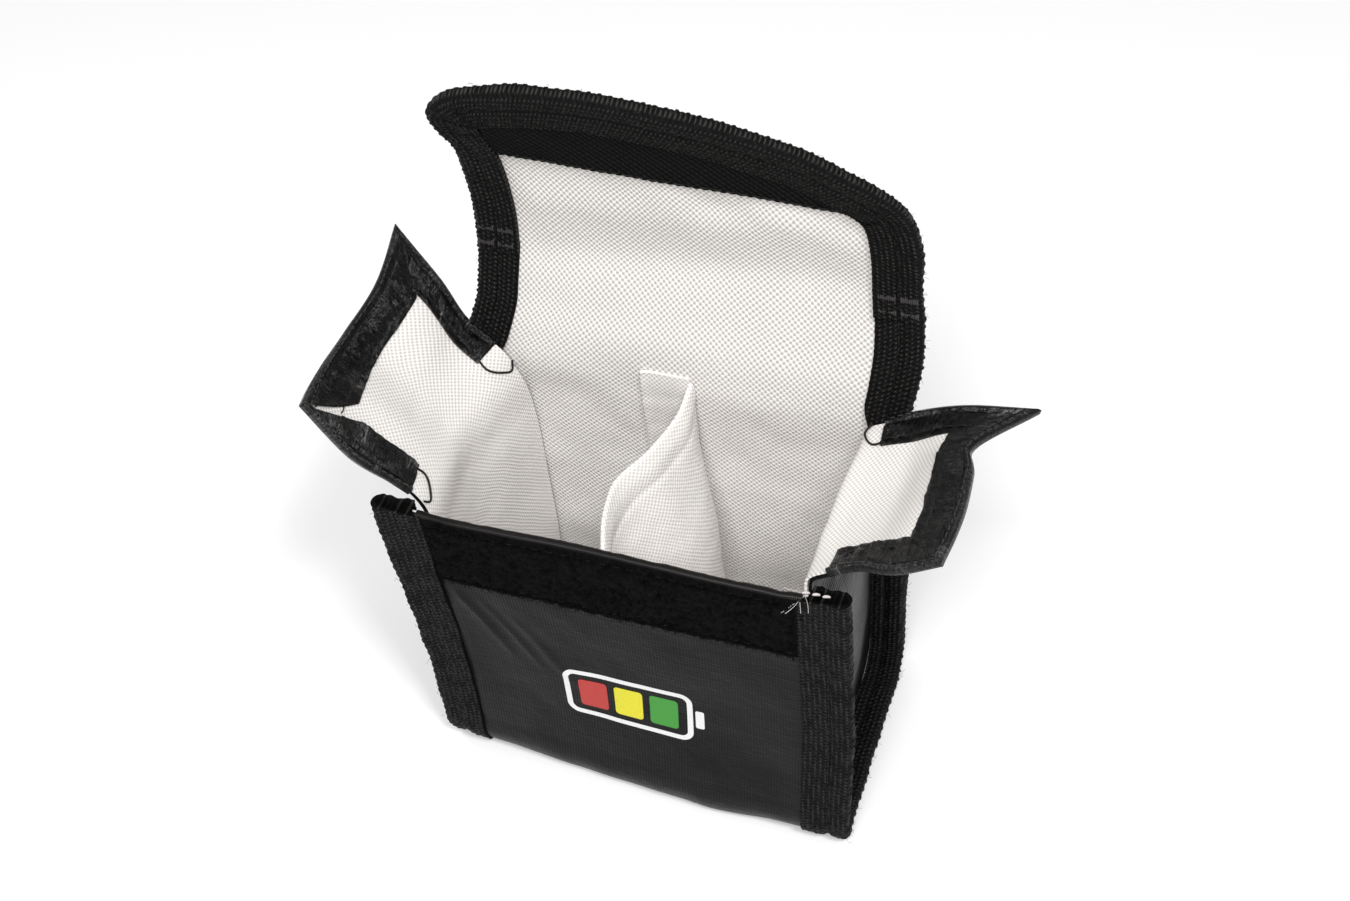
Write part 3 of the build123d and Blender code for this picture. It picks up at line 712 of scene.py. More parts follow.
# ---------------------------------------------------------------- edge tapes
# Thickness of the tape, pitch of its ribs, how far in from the folded edge it is sewn, and the
# widths of its leaves: outside on the sides, inside on the body and on the lid, then on the tip.
TAPE_LEAF = 0.6
RIB = 1.15
GROOVE = 5.0
SIDE_OUT, SIDE_IN_BODY, SIDE_IN_LID = 10.9, 8.2, 10.2
TIP_OUT, TIP_IN = 10.6, 10.4
LEAF_A, LEAF_B = np.linspace(1, 0, 26), np.linspace(0, 1, 26)
FOLD = np.linspace(0, math.pi, 11)[1:-1]
BENT = slice(len(LEAF_A), len(LEAF_A) + len(FOLD))
COVER = BENT.stop + len(LEAF_B)


def tape_section(t, w_out, w_in):
    """Closed outline of a tape folded over a seam t thick: (in from the edge, height) of each point."""
    r = min(1.5, t / 2)
    w = np.concatenate([r + LEAF_A * (w_out - r), r - r * np.sin(FOLD), r + LEAF_B * (w_in - r),
                        [w_in, r, TAPE_LEAF, r, w_out]])
    n = np.concatenate([0 * LEAF_A, -t / 2 + t / 2 * np.cos(FOLD), -t + 0 * LEAF_B,
                        [-t + TAPE_LEAF, -t + TAPE_LEAF, -t / 2, -TAPE_LEAF, -TAPE_LEAF]])
    return np.stack([w, n], axis=1)


def tape_relief(w, along):
    """How far the tape's face stands up: ribs, slack, the sewn groove and the ridges beside it."""
    skew = 0.9 * np.cos(2 * math.pi * w / 2.4) + 0.7 * noise(w, along, 3.1, 33)
    ribs = 0.13 * np.cos(2 * math.pi * along / RIB + skew) * (0.8 + 0.6 * noise(w, along, 2.0, 35))
    ribs = ribs + 0.12 * np.cos(math.pi * along / RIB + skew / 2) * np.cos(2 * math.pi * w / 1.7)
    slack = 0.20 * rough(w + 50, along, 9, 31) + 0.10 * hump(w, w.max(axis=1, keepdims=True), 0.6)
    sink = 0.42 * hump(w, GROOVE, 0.55) + 0.22 * hump(w, 0.0, 0.5)
    ridge = 0.22 * hump(w, GROOVE - 2.3, 1.5) + 0.18 * hump(w, GROOVE + 2.3, 1.5)
    return ribs + slack - sink + ridge


def tape_lead(section):
    """The way that the tape's face looks at each point of its section, 0 on its inner side."""
    lead = np.zeros_like(section)
    lead[:, : BENT.start, 1] = 1
    lead[:, BENT, 0] = -np.sin(FOLD)
    lead[:, BENT, 1] = np.cos(FOLD)
    lead[:, BENT.stop : COVER, 1] = -1
    return lead


def tape(name, outline, inward, w_out, w_in, thick, raised=0.0):
    """Ribbed tape folded over an edge. outline and inward are (x, s) along the edge; w_out and w_in
    are the widths of the outside and inside leaves; thick is the seam's thickness at each station."""
    stations = len(outline)
    thick, w_in = np.broadcast_to(thick, (stations,)), np.broadcast_to(w_in, (stations,))
    section = np.array([tape_section(t, w_out, wide) for t, wide in zip(thick, w_in)])
    w = section[..., 0]
    along = chords(outline)[:, None] + 0 * w
    rise = tape_relief(w, along) + raised
    rise[:, COVER:] = 0
    section = section + tape_lead(section) * rise[..., None]
    x = outline[:, None, 0] + inward[:, None, 0] * section[..., 0]
    s = outline[:, None, 1] + inward[:, None, 1] * section[..., 0]
    points = bag_point(x, s, section[..., 1])
    count = section.shape[1]
    faces = [tuple(f) for f in grid_faces(stations, count, wrap_cols=True, flip=True)]
    for first, turn in ((0, 1), ((stations - 1) * count, -1)):
        ring = range(first, first + count)
        for i in range(count // 2 - 1):
            faces.append((ring[i], ring[i + 1], ring[-2 - i], ring[-1 - i])[::turn])
    flat = np.stack([w, along, 0 * w], axis=-1)
    return make(name, points.reshape(-1, 3), faces, TAPE, flat.reshape(-1, 3), 65)


def side_outline(side, s_top):
    """Stations 0.21 mm apart along a side edge of the bag, and the way inward from each."""
    s = np.arange(0, s_top, 0.21)
    x = side * (HALF_WIDTH + 0.45 * rough(s, 0 * s + side * 5, 26, 41))
    return np.stack([x, s], axis=1), np.stack([np.full_like(s, -side), 0 * s], axis=1)


for side, word in ((-1, "left"), (1, "right")):
    outline, inward = side_outline(side, S_JOIN + 1.5)
    s = outline[:, 1]
    leaf = SIDE_IN_BODY + (SIDE_IN_LID - SIDE_IN_BODY) * ease(S_MOUTH - 4, S_MOUTH + 4, s)
    thick = 3.7 - 1.1 * ease(S_MOUTH - 5, S_MOUTH + 8, s)
    side_tape = tape("side_tape_" + word, outline, inward, SIDE_OUT, leaf, thick)
    settle(side_tape, "binding_tape", over_lid, word + "_side_binding", "lid_binding_" + word)

keep = TIP[:, 1] > S_JOIN - 1.6
tip_outline = through(TIP[keep], 900)
tangent = np.gradient(tip_outline, axis=0)
tangent /= np.linalg.norm(tangent, axis=1, keepdims=True)
tip_inward = np.stack([tangent[:, 1], -tangent[:, 0]], axis=1)
tip_tape = tape("tip_tape", tip_outline, tip_inward, TIP_OUT, TIP_IN, 2.9, raised=0.25)
settle(tip_tape, "binding_tape", over_tongue, "tongue_binding")


# ---------------------------------------------------------------- side gussets and ears
# (x, y, z) from front to back on each row, from the base up to the tip of the ear
GUSSET_L = [
    [(-40.3, -25.4, 2.3), (-40.6, -10, 2.1), (-40.8, 0, 2.1), (-40.0, 10, 2.1), (-38.6, 21.0, 2.3)],
    [(-41.0, -26.2, 22), (-42.0, -11, 22), (-42.6, 0, 22), (-40.6, 11, 22), (-37.4, 22.2, 22)],
    [(-41.2, -25.0, 46), (-42.6, -11, 46), (-43.2, 0, 46), (-40.6, 11, 46), (-37.3, 22.3, 46)],
    [(-41.4, -23.8, 68), (-43.2, -11, 68), (-44.0, 0, 68), (-41.0, 11, 68), (-37.6, 22.2, 68)],
    [(-42.2, -22.4, 80), (-43.6, -11, 79.5), (-44.8, 0, 79.5), (-42.4, 11, 80), (-38.6, 21.2, 81)],
    [(-44.5, -22.0, 83.9), (-46.4, -11, 84.5), (-47.6, 0, 84.0), (-45.4, 11, 85), (-41.0, 21.0, 87)],
    [(-48.8, -22.4, 88.0), (-50.4, -11, 90.2), (-51.6, 0, 89.6), (-50.4, 11, 91), (-48.4, 21.6, 92.5)],
    [(-55.3, -24.2, 95.4), (-56.8, -12, 98.2), (-58.6, 0, 97.8), (-56.2, 12, 100.5), (-54.5, 22.4, 103.9)],
    [(-62.6, -25.2, 111.0), (-65.2, -13, 108.4), (-66.8, 0, 105.4), (-64.4, 13, 108.6), (-62.2, 22.6, 117.6)],
]
GUSSET_R = [
    [(40.3, -28.2, 2.3), (40.6, -10, 2.1), (40.8, 0, 2.1), (40.6, 10, 2.1), (40.3, 20.6, 2.3)],
    [(40.2, -27.8, 22), (41.4, -11, 22), (42.0, 0, 22), (41.4, 11, 22), (40.6, 22.2, 22)],
    [(40.4, -25.6, 46), (42.4, -11, 46), (43.0, 0, 46), (42.2, 11, 46), (40.6, 22.4, 46)],
    [(41.0, -24.0, 68), (42.6, -11, 68), (43.2, 0, 68), (42.4, 11, 68), (40.9, 22.2, 68)],
    [(39.6, -22.8, 78.6), (39.8, -11, 78.2), (40.2, 0, 78.2), (40.6, 11, 78.6), (40.8, 21.2, 79.5)],
    [(39.4, -21.8, 83), (39.4, -11, 82.6), (39.9, 0, 82.6), (40.6, 11, 83.0), (41.4, 20.6, 84.2)],
    [(43.4, -21.8, 87), (44.0, -11, 85.8), (44.8, 0, 85.2), (45.2, 11, 85.4), (45.2, 20.8, 87.0)],
    [(49.5, -22.0, 91.2), (51.6, -11, 89.8), (52.6, 0, 88.4), (52.0, 11, 88.4), (50.4, 21.6, 90.0)],
    [(57.5, -24.2, 95.2), (58.8, -12, 96.4), (59.0, 0, 95.6), (58.8, 11, 93.0), (61.4, 22.4, 93.9)],
    [(66.4, -24.6, 101.4), (67.6, -13, 101.2), (67.2, 0, 100.2), (66.0, 11.5, 95.0), (76.3, 22.6, 96.4)],
]
LENGTH_ROWS = 230
ACROSS = 110
EAR_LENGTH, EAR_HALF = 130, 22
EARS = {}


def ear_surface(net, seed):
    grid = loft(net, LENGTH_ROWS, ACROSS)
    n = normals(grid)
    along = np.linspace(0, 1, LENGTH_ROWS)[:, None]
    across = np.linspace(-1, 1, ACROSS)[None, :]
    a, b = along * EAR_LENGTH + 0 * across, across * EAR_HALF + 0 * along
    loose = (1 - np.abs(across) ** 4) * ease(0.02, 0.2, along)
    wave = 0.25 * np.sin(b / 5.5 + 1.5 * np.sin(a / 13)) * ease(0.55, 0.75, along)
    ripple = 0.38 * rough(a, b, 17, seed) + wave
    return grid + n * (ripple * loose)[..., None]


def chords_grid(grid, axis):
    step = np.linalg.norm(np.diff(grid, axis=axis), axis=-1)
    zero = np.zeros_like(np.take(step, [0], axis=axis))
    return np.concatenate([zero, np.cumsum(step, axis=axis)], axis=axis)


class Sheet:
    """Looks up points and normals of a surface by cloth distance: d from the tip edge, e across."""

    def __init__(self, grid, sign):
        self.grid, self.normal = grid, normals(grid) * sign
        self.length = chords_grid(grid[::-1], 0)[:, ACROSS // 2]
        self.half = chords_grid(grid, 1)[-1, -1] / 2

    def at(self, d, e, lift=0.0):
        """d in mm from the tip, e in mm from the middle (negative to the front), lift inward."""
        d, e, lift = np.broadcast_arrays(*(np.asarray(q, float) for q in (d, e, lift)))
        row = LENGTH_ROWS - 1 - np.interp(d, self.length, np.arange(LENGTH_ROWS))
        col = (e / self.half + 1) / 2 * (ACROSS - 1)
        return self.sample(self.grid, row, col) + self.sample(self.normal, row, col) * lift[..., None]

    @staticmethod
    def sample(table, row, col):
        row = np.clip(row, 0, table.shape[0] - 1.001)
        col = np.clip(col, 0, table.shape[1] - 1.001)
        i, j = row.astype(int), col.astype(int)
        a, b = (row - i)[..., None], (col - j)[..., None]
        low = table[i, j] * (1 - a) + table[i + 1, j] * a
        high = table[i, j + 1] * (1 - a) + table[i + 1, j + 1] * a
        return low * (1 - b) + high * b


HEM_W = 8.0
HEM_TURNS = 20
HEM_LIFT, HEM_WRAP, HEM_LEAST = 0.75, 1.6, 0.42
EAR_REACH = 27.0
EAR_TRIM = 0.9
RIM_IN = 0.9


def hem_section(width):
    """Closed outline of a hem: (in from the edge, height) of each point, and how many show."""
    w = np.concatenate([np.linspace(width, 0.7, HEM_TURNS), [0.25, -0.15]])
    up = np.concatenate([np.full(HEM_TURNS, HEM_LIFT), [HEM_LIFT * 0.75, 0.0]])
    w_all = np.concatenate([w, [0.2, 0.8, HEM_WRAP], [HEM_WRAP, 0.6, 0.45, 0.9, width]])
    up_all = np.concatenate([up, [-1.0, -1.25, -1.3], [-0.95, -0.9, 0.0, 0.28, 0.28]])
    return w_all, up_all, len(w)


def hem_strip(sheet, start, end, inner, width, seed, start_cut=0.0, end_cut=0.0):
    """Turned hem from start to end, both (d, e) on the sheet; inner is the way in from that edge."""
    q = np.linspace(0, 1, 150)[:, None]
    edge = np.array(start) * (1 - q) + np.array(end) * q
    w, up, shown = hem_section(width)
    along = chords(edge)[:, None]
    q = along / along[-1]
    a = along + start_cut * (1 - q) * w - end_cut * q * w
    d = np.interp(a, along[:, 0], edge[:, 0]) + inner[0] * w
    e = np.interp(a, along[:, 0], edge[:, 1]) + inner[1] * w
    pucker = 0.26 * rough(a, w + 0 * a, 2.6, seed) * ease(0.3, 1.5, w)
    pucker = pucker + 0.17 * rough(a, w * 0.28 + 0 * a, 1.5, seed + 5, 2) * ease(0.8, 2.5, w)
    sewn = -0.32 * hump(w, 2.1, 0.4) - 0.22 * hump(w, width - 1.6, 0.5)
    roll = 0.25 * hump(w, 1.1, 0.7)
    rise = up + (pucker + sewn + roll) * (np.arange(len(w)) < shown)
    rise[:, : HEM_TURNS - 1] = np.maximum(rise[:, : HEM_TURNS - 1], HEM_LEAST)
    points = sheet.at(d, e, rise)
    rows, count = a.shape
    faces = [tuple(f) for f in grid_faces(rows, count, wrap_cols=True)]
    faces.append(tuple(range(count))[::-1])
    faces.append(tuple(range((rows - 1) * count, rows * count)))
    flat = np.stack([a, w + 0 * a, 0 * a + seed], axis=-1)
    return points.reshape(-1, 3), faces, flat.reshape(-1, 3)


def trim_ear(grid):
    """The sheet without its last rows, and drawn in at both edges where the hem wraps it."""
    rows, cols = grid.shape[:2]
    row = np.arange(rows - 2)[:, None] + np.zeros(cols)[None, :]
    keep = EAR_TRIM / EAR_HALF * ease(0.62, 0.72, np.linspace(0, 1, rows - 2))[:, None]
    col = (np.linspace(-1, 1, cols)[None, :] * (1 - keep) + 1) / 2 * (cols - 1)
    return Sheet.sample(grid, row, col)


def ear_fold():
    """What carries a piece of an ear: its transform is baked into its mesh."""
    return lambda obj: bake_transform(obj)


def ear_cloths(word, grid, side, seed, fold):
    """The white lining of a gusset and its ear, and the black cloth outside it."""
    u, v = chords_grid(grid, 0), chords_grid(grid, 1) - EAR_HALF
    cut_flat = trim_ear(np.stack([v, u, np.full_like(u, float(seed))], axis=-1))
    cut_grid = trim_ear(grid)
    inner = shell(word + "_gusset_lining_cloth", cut_grid, 0.28, -0.28, GLASS_GUSSET, cut_flat)
    settle(inner, "glass_cloth", fold, word + "_gusset_lining", word + "_ear_lining")
    outer_grid = trim_ear(grid - normals(grid) * (0.95 * side))
    cloth = shell(word + "_gusset_outer_cloth", outer_grid, 0.3, -0.3, COATED_SIDE, cut_flat)
    settle(cloth, "coated_cloth", fold, word + "_gusset_outer", word + "_ear_outer")


def ear_hem(word, sheet, seed, gap_at_front, fold):
    """The hem along the tip of an ear and down both its sides."""
    half = sheet.half
    tip = hem_strip(sheet, (0, -half), (0, half), (1, 0), HEM_W + 0.8, seed + 1, 1.0 + gap_at_front, 1.0)
    back = hem_strip(sheet, (0, half), (EAR_REACH, half), (0, -1), HEM_W + 0.3, seed + 2, start_cut=0.95)
    front = hem_strip(sheet, (EAR_REACH, -half), (0, -half), (0, 1), HEM_W + 0.6, seed + 3,
                      end_cut=1.0 + gap_at_front * 0.6)
    points, faces, flat = join_parts([tip, back, front])
    hem = make(word + "_ear_hem_cloth", points, faces, HEM, flat, 60)
    settle(hem, "ear_hem_cloth", fold, word + "_ear_hem")


def ear_seam(sheet, start, end, level):
    """A line to sew along on an ear from start to end, both (d, e), and the way its stitches rise."""
    q = np.linspace(0, 1, 60)
    d, e = start[0] + (end[0] - start[0]) * q, start[1] + (end[1] - start[1]) * q
    line = sheet.at(d, e, level)
    return line, sheet.at(d, e, level + 1) - line


def ear_stitches(word, sheet, fold):
    """Two black seams along the hem, and a paler one close along the free edge."""
    half, seams = sheet.half, []
    for w, level in ((2.1, 0.48), (HEM_W - 1.6, 0.56)):
        tip_front, tip_back = (w, w - half), (w, half - w)
        seams.append(ear_seam(sheet, tip_front, tip_back, level))
        seams.append(ear_seam(sheet, tip_back, (EAR_REACH - 0.5, half - w), level))
        seams.append(ear_seam(sheet, (EAR_REACH - 0.5, w - half), tip_front, level))
    sewn = stitches(word + "_ear_stitches", seams, THREAD, pitch=2.4, radius=0.15)
    settle(sewn, "thread_black", fold, word + "_ear_thread")
    low, edge = EAR_REACH - 1.0, half - RIM_IN
    rim = [(low, -edge), (RIM_IN, -edge), (RIM_IN, edge), (low, edge)]
    seams = [ear_seam(sheet, start, end, 0.92) for start, end in zip(rim[:-1], rim[1:])]
    rim_sewn = stitches(word + "_ear_rim_stitches", seams, THREAD_GREY, pitch=1.7, gap=0.5, radius=0.12)
    settle(rim_sewn, "thread_black", fold)


def build_ear(word, net, side, seed, gap_at_front):
    grid = ear_surface(net, seed)
    sheet, fold = Sheet(grid, side), ear_fold()
    ear_cloths(word, grid, side, seed, fold)
    ear_hem(word, sheet, seed, gap_at_front, fold)
    ear_stitches(word, sheet, fold)
    EARS[word] = (sheet, fold)


build_ear("left", GUSSET_L, -1, 101, 0.35)
build_ear("right", GUSSET_R, 1, 131, 0.0)


# ---------------------------------------------------------------- divider
# (x, y, z) from front to back on each row, from the base up to the free edge
DIVIDER = [
    [(1.0, -25.6, 2.6), (1.2, -14, 2.4), (1.4, -6, 2.4), (1.4, 4, 2.4), (1.2, 13, 2.4), (1.0, 21.0, 2.6)],
    [(-0.6, -26.2, 20), (3.0, -14, 20), (7.4, -6, 20), (9.6, 4, 20), (7.4, 13, 20), (1.6, 22.3, 20)],
    [(-1.6, -24.8, 42), (3.0, -14, 42), (7.6, -6, 42), (10.2, 4, 42), (8.2, 13, 42), (1.6, 22.3, 42)],
    [(-2.2, -24.2, 60), (-0.4, -14, 60), (2.6, -6, 60), (6.6, 4, 60), (6.6, 13, 60), (1.6, 22.3, 60)],
    [(-2.6, -23.9, 73), (-4.0, -14, 73), (-2.4, -6, 73), (1.4, 4, 73), (3.6, 13, 73), (1.6, 22.3, 74)],
    [(-2.9, -23.7, 79.6), (-5.4, -15, 82.0), (-6.4, -6, 82.0), (-2.2, 4.5, 82.4),
     (0.6, 14, 83.2), (1.4, 22.4, 85.6)],
]
DIVIDER_COLUMNS = 90
grid = loft(DIVIDER, 130, DIVIDER_COLUMNS)
u, v = chords_grid(grid, 0), chords_grid(grid, 1) - EAR_HALF
flat = np.stack([v, u, np.full_like(u, 7.0)], axis=-1)
held = np.linspace(-1, 1, DIVIDER_COLUMNS) ** 4
grid = grid + normals(grid) * (0.35 * rough(v, u, 13, 201) * (1 - held))[..., None]
edge = u.max(axis=0, keepdims=True)
plump = 0.55 + 0.45 * hump(u, edge - 3.5, 2.2) - 0.25 * hump(u, edge - 7, 0.6)
plump = plump * (1 - 0.6 * ease(edge - 0.8, edge, u))
divider = shell("divider_cloth", grid, plump, -plump, GLASS_FINE, flat, smooth_angle=70)
settle(divider, "glass_cloth", on_bag, "divider")

# the divider's seam allowance, turned to the left against the back lining
TAB_LEFT, TAB_RIGHT = -9.6, 1.2
tab_levels = np.linspace(s_at(8, "back"), s_at(86.0, "back"), 120)
grid, flat = cloth_grid(np.linspace(TAB_LEFT, TAB_RIGHT, 26), tab_levels, -1.95)
x, s = flat[..., 0], flat[..., 1]
lifted = 0.35 + 0.25 * np.abs(noise(x, s, 5, 77)) + 0.5 * hump(x, TAB_LEFT, 1.2)
tab_grid = grid - normals(grid) * lifted[..., None]
tab = shell("divider_seam_cloth", tab_grid, 0.55, -0.3, GLASS_FINE, flat)
settle(tab, "glass_cloth", on_bag)

# ---------------------------------------------------------------- closure strips
STRIP_LOW, STRIP_TOP = s_at(62.0, "front"), s_at(82.6, "front")
STRIP_SEAMS = (STRIP_TOP + 1.9, STRIP_LOW - 1.9)
LOOP_COUNT = 5200
xs = np.linspace(-40.5, 40.5, 330)
grid, flat = cloth_grid(xs, np.linspace(STRIP_TOP, STRIP_LOW, 90), 0.0)
x, s = flat[..., 0], flat[..., 1]
ends = 1 - 0.75 * ease(37.2, 39.2, np.abs(x))
border = np.minimum(ease(0, 1.1, s - STRIP_TOP), ease(0, 1.1, STRIP_LOW - s)) * ends
sewn_in = hump(s, STRIP_SEAMS[0], 0.5) + hump(s, STRIP_SEAMS[1], 0.5)
fuzz = 0.22 * rough(x, s, 1.1, 301, 2) + 0.16 * rough(x, s, 4, 303, 2)
rise = -0.25 + border * (1.05 + fuzz - 0.45 * sewn_in)
loop_strip = shell("loop_strip_pile", grid, rise, -0.35, PILE, flat, smooth_angle=80)
settle(loop_strip, "loop_pile", on_bag, "front_loop_strip")

rng = np.random.default_rng(404)
loops = []
for _ in range(LOOP_COUNT):
    x, s = rng.uniform(-38.4, 38.4), rng.uniform(STRIP_TOP + 0.3, STRIP_LOW - 0.3)
    turn, tall, wide = rng.uniform(0, math.pi), rng.uniform(0.35, 0.85), rng.uniform(0.25, 0.55)
    arc = np.array([0, 0.32, 0.68, 1.0]) * math.pi
    px = x + np.cos(turn) * wide * np.cos(arc)
    ps = s + np.sin(turn) * wide * np.cos(arc)
    loops.append(bag_point(px, ps, 0.35 + tall * np.sin(arc)))
settle(tubes("loop_strip_fibres", loops, 0.045, PILE, sides=3), "loop_pile", on_bag)

xs = np.linspace(-38.5, 38.5, 240)
seams = [seam(xs, s, 0.26) for s in STRIP_SEAMS]
strip_sewn = stitches("loop_strip_stitches", seams, THREAD, pitch=2.9, radius=0.11)
settle(strip_sewn, "thread_black", on_bag, "loop_strip_thread")


def hook_top(x):
    """Upper edge of the hook strip: it runs under the inside leaf of the tip tape."""
    return tip_s(x, 9.4) - 2.2 * ease(30, 41, x) - 0.4 * ease(30, 41, -x)


xs = np.linspace(-43.4, 41, 300)
grid, flat = span(xs, S_LINING_TOP, np.maximum(hook_top(xs), S_LINING_TOP + 1.2), 110, -1.95)
x, s = flat[..., 0], flat[..., 1]
ribs = 0.13 * np.cos(2 * math.pi * (x + HOOK_SLANT * s) / HOOK_RIB) + 0.10 * rough(x, s, 6, 311)
low_side = -(0.15 + ease(0, 0.7, s - S_LINING_TOP) * (0.75 + ribs))
hook = shell("hook_strip", grid, 0.3, low_side, HOOK, flat, smooth_angle=70)
settle(hook, "hook_tape", over_tongue, "hook_strip_lid_part", "hook_strip_tongue_part")

seams = [seam(np.linspace(-39, 39, 200), S_LINING_TOP + 1.3, -2.85, -1)]
hook_sewn = stitches("hook_strip_stitches", seams, THREAD, radius=0.15)
settle(hook_sewn, "thread_black", over_tongue, "hook_strip_thread")

# lining of the tongue, behind the hook strip
xs = np.linspace(-42, 38, 90)
low = S_LINING_TOP + 1.0
grid, flat = span(xs, low, np.maximum(tip_s(xs, 9.0), low + 1.0), 60, 0.0)
tongue_lining = shell("tongue_lining_cloth", grid, -1.3, -1.75, GLASS, flat)
settle(tongue_lining, "glass_cloth", over_tongue, "tongue_lining")

# ---------------------------------------------------------------- mouth hem
xs = np.linspace(-40.0, 40.0, 260)
turn = np.linspace(0, 2 * math.pi, 18, endpoint=False)
hem_s, hem_n = 0.2 - 0.55 * np.sin(turn), -0.85 + 0.85 * np.cos(turn)
x2 = xs[:, None] + 0 * turn[None, :]
swollen = 1 + 0.10 * noise(x2, 0 * x2, 3.0, 321) + 0.05 * noise(x2, 0 * x2 + 3, 0.9, 322)
points = bag_point(x2, np.maximum(0.0, hem_s)[None, :] + 0 * x2, 0.0)
points[..., 1] -= hem_n[None, :] * swollen
points[..., 2] += np.maximum(0, -hem_s)[None, :] * swollen
faces = [tuple(f) for f in grid_faces(len(xs), len(turn), wrap_cols=True)]
faces += [tuple(range(len(turn))), tuple(range((len(xs) - 1) * len(turn), len(xs) * len(turn)))]
flat = np.stack([x2, 0 * x2 + turn[None, :], 0 * x2], axis=-1)
mouth = make("front_mouth_hem_roll", points.reshape(-1, 3), faces, MOUTH_HEM, flat.reshape(-1, 3), 80)
settle(mouth, "hem_gold", on_bag, "front_mouth_hem")

seams = [seam(np.linspace(-39, 39, 240), 1.15, 0.12)]
mouth_sewn = stitches("mouth_hem_stitches", seams, THREAD, pitch=2.5, radius=0.15)
settle(mouth_sewn, "thread_black", on_bag, "mouth_hem_thread")

# ---------------------------------------------------------------- tape stitching and bar tacks
SEAM_X = HALF_WIDTH - GROOVE
TAPE_THREAD = 0.16
for side, word in ((-1, "left"), (1, "right")):
    s = np.linspace(1.5, S_MOUTH + 2, 700)
    front, rear = s[s < s_at(6, "front")], s[s > s_at(8, "back")]
    seams = [seam(side * SEAM_X, part, -0.28) for part in (front, rear)]
    sewn = stitches("side_tape_stitches_" + word, seams, THREAD, radius=TAPE_THREAD)
    settle(sewn, "thread_black", on_bag, word + "_binding_thread")

s = np.linspace(S_MOUTH + 4, S_JOIN - 1.5, 120)
seams = []
for side in (-1, 1):
    for level, toward in ((-2.3, -1), (-0.28, 1)):
        seams.append(seam(side * SEAM_X, s, level, toward))
lid_sewn = stitches("lid_tape_stitches", seams, THREAD, radius=TAPE_THREAD)
settle(lid_sewn, "thread_black", over_lid, "lid_binding_thread")

x, s = (tip_outline + tip_inward * GROOVE)[6:-6].T
seams = [seam(x, s, -2.65, -1), seam(x, s, -0.05)]
tip_sewn = stitches("tip_tape_stitches", seams, THREAD, radius=TAPE_THREAD)
settle(tip_sewn, "thread_black", over_tongue, "tongue_binding_thread")

# blocks of nine short stitches, two by two at each side, on both faces of the lid
rng = np.random.default_rng(515)
seams = []
for side in (-1, 1):
    for s in (S_JOIN + 0.6, S_JOIN + 4.2):
        for x0 in (41.2, 45.9):
            for k in range(9):
                x = side * (x0 + 0.42 * k)
                run = s + np.linspace(-0.75, 0.75, 6) * rng.uniform(0.85, 1.1)
                for level, toward in ((-3.15, -1), (0.25, 1)):
                    line = bag_point(x + rng.uniform(-0.05, 0.05), run, level)
                    seams.append((line, toward * (bag_point(x, run, level + 1) - line)))
tacks = stitches("tape_bar_tack_thread", seams, THREAD_GREY, pitch=3.0, gap=0.05, radius=0.2, lift=0.2)
settle(tacks, "thread_black", over_tongue, "tape_bar_tacks")

# ---------------------------------------------------------------- printed symbol
PRINT_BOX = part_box("print_white")
PRINT_X = (PRINT_BOX[0][0] + PRINT_BOX[1][0]) / 2 / MM - 1.0
PRINT_S = s_at((PRINT_BOX[0][2] + PRINT_BOX[1][2]) / 2 / MM, "front")


CORNER_POINTS, SIDE_POINTS = 12, 24


def rounded(w, h, r):
    """Closed loop of a rounded rectangle, with evenly many points on each side and corner."""
    arcs = []
    for k, (cx, cy) in enumerate([(1, 1), (-1, 1), (-1, -1), (1, -1)]):
        a = np.radians(90 * k + np.linspace(0, 90, CORNER_POINTS))
        arcs.append(np.stack([cx * (w / 2 - r) + r * np.cos(a), cy * (h / 2 - r) + r * np.sin(a)], axis=1))
    loop = []
    for arc, after in zip(arcs, arcs[1:] + arcs[:1]):
        q = np.linspace(0, 1, SIDE_POINTS)[1:-1, None]
        loop += [arc, arc[-1] * (1 - q) + after[0] * q]
    return np.concatenate(loop)


def printed(name, rings, colour, ring_shaped=False):
    """Ink between nested loops of (x, z) offsets, laid just over the front cloth."""
    points, flat = [], []
    for level in (-0.24, -0.36):
        for ring in rings:
            x, s = PRINT_X + ring[:, 0], PRINT_S - ring[:, 1]
            points.append(bag_point(x, s, level))
            flat.append(np.stack([x, s, 0 * x], axis=1))
    count, layers = len(rings[0]), len(rings)
    face = layers * count
    faces = []
    for base in (0, face):
        faces += [tuple(f) for f in grid_faces(layers, count, start=base, wrap_cols=True, flip=base > 0)]
    last = face - count
    for first in (0, last) if ring_shaped else (0,):
        for i in range(count):
            a, b = first + i, first + (i + 1) % count
            faces.append((a, b, b + face, a + face))
    if not ring_shaped:
        faces.append(tuple(range(last, face)))
        faces.append(tuple(range(last + face, face + face))[::-1])
    obj = make(name, np.concatenate(points), faces, INKS[colour], np.concatenate(flat), 60)
    settle(obj, "ink_" + colour, on_bag, "print_" + colour)


# a battery: its outline, the nub at its right end and three level blocks inside
outside, inside = rounded(30, 15, 2.8), rounded(27.4, 12.4, 1.6)
border = [outside * (1 - q) + inside * q for q in np.linspace(0, 1, 4)]
printed("printed_outline", border, "white", ring_shaped=True)
nub = rounded(2.0, 5.6, 0.5)
printed("printed_nub", [nub * q + np.array([16.6, 0]) for q in (1, 0.75, 0.5, 0.25, 0.08)], "white")
block = rounded(6.6, 9.0, 0.9)
for k, colour in enumerate(("red", "yellow", "green")):
    place = np.array([(k - 1) * 8.3, 0])
    printed("printed_level_" + colour, [block * q + place for q in (1, 0.85, 0.7, 0.5, 0.3, 0.1)], colour)


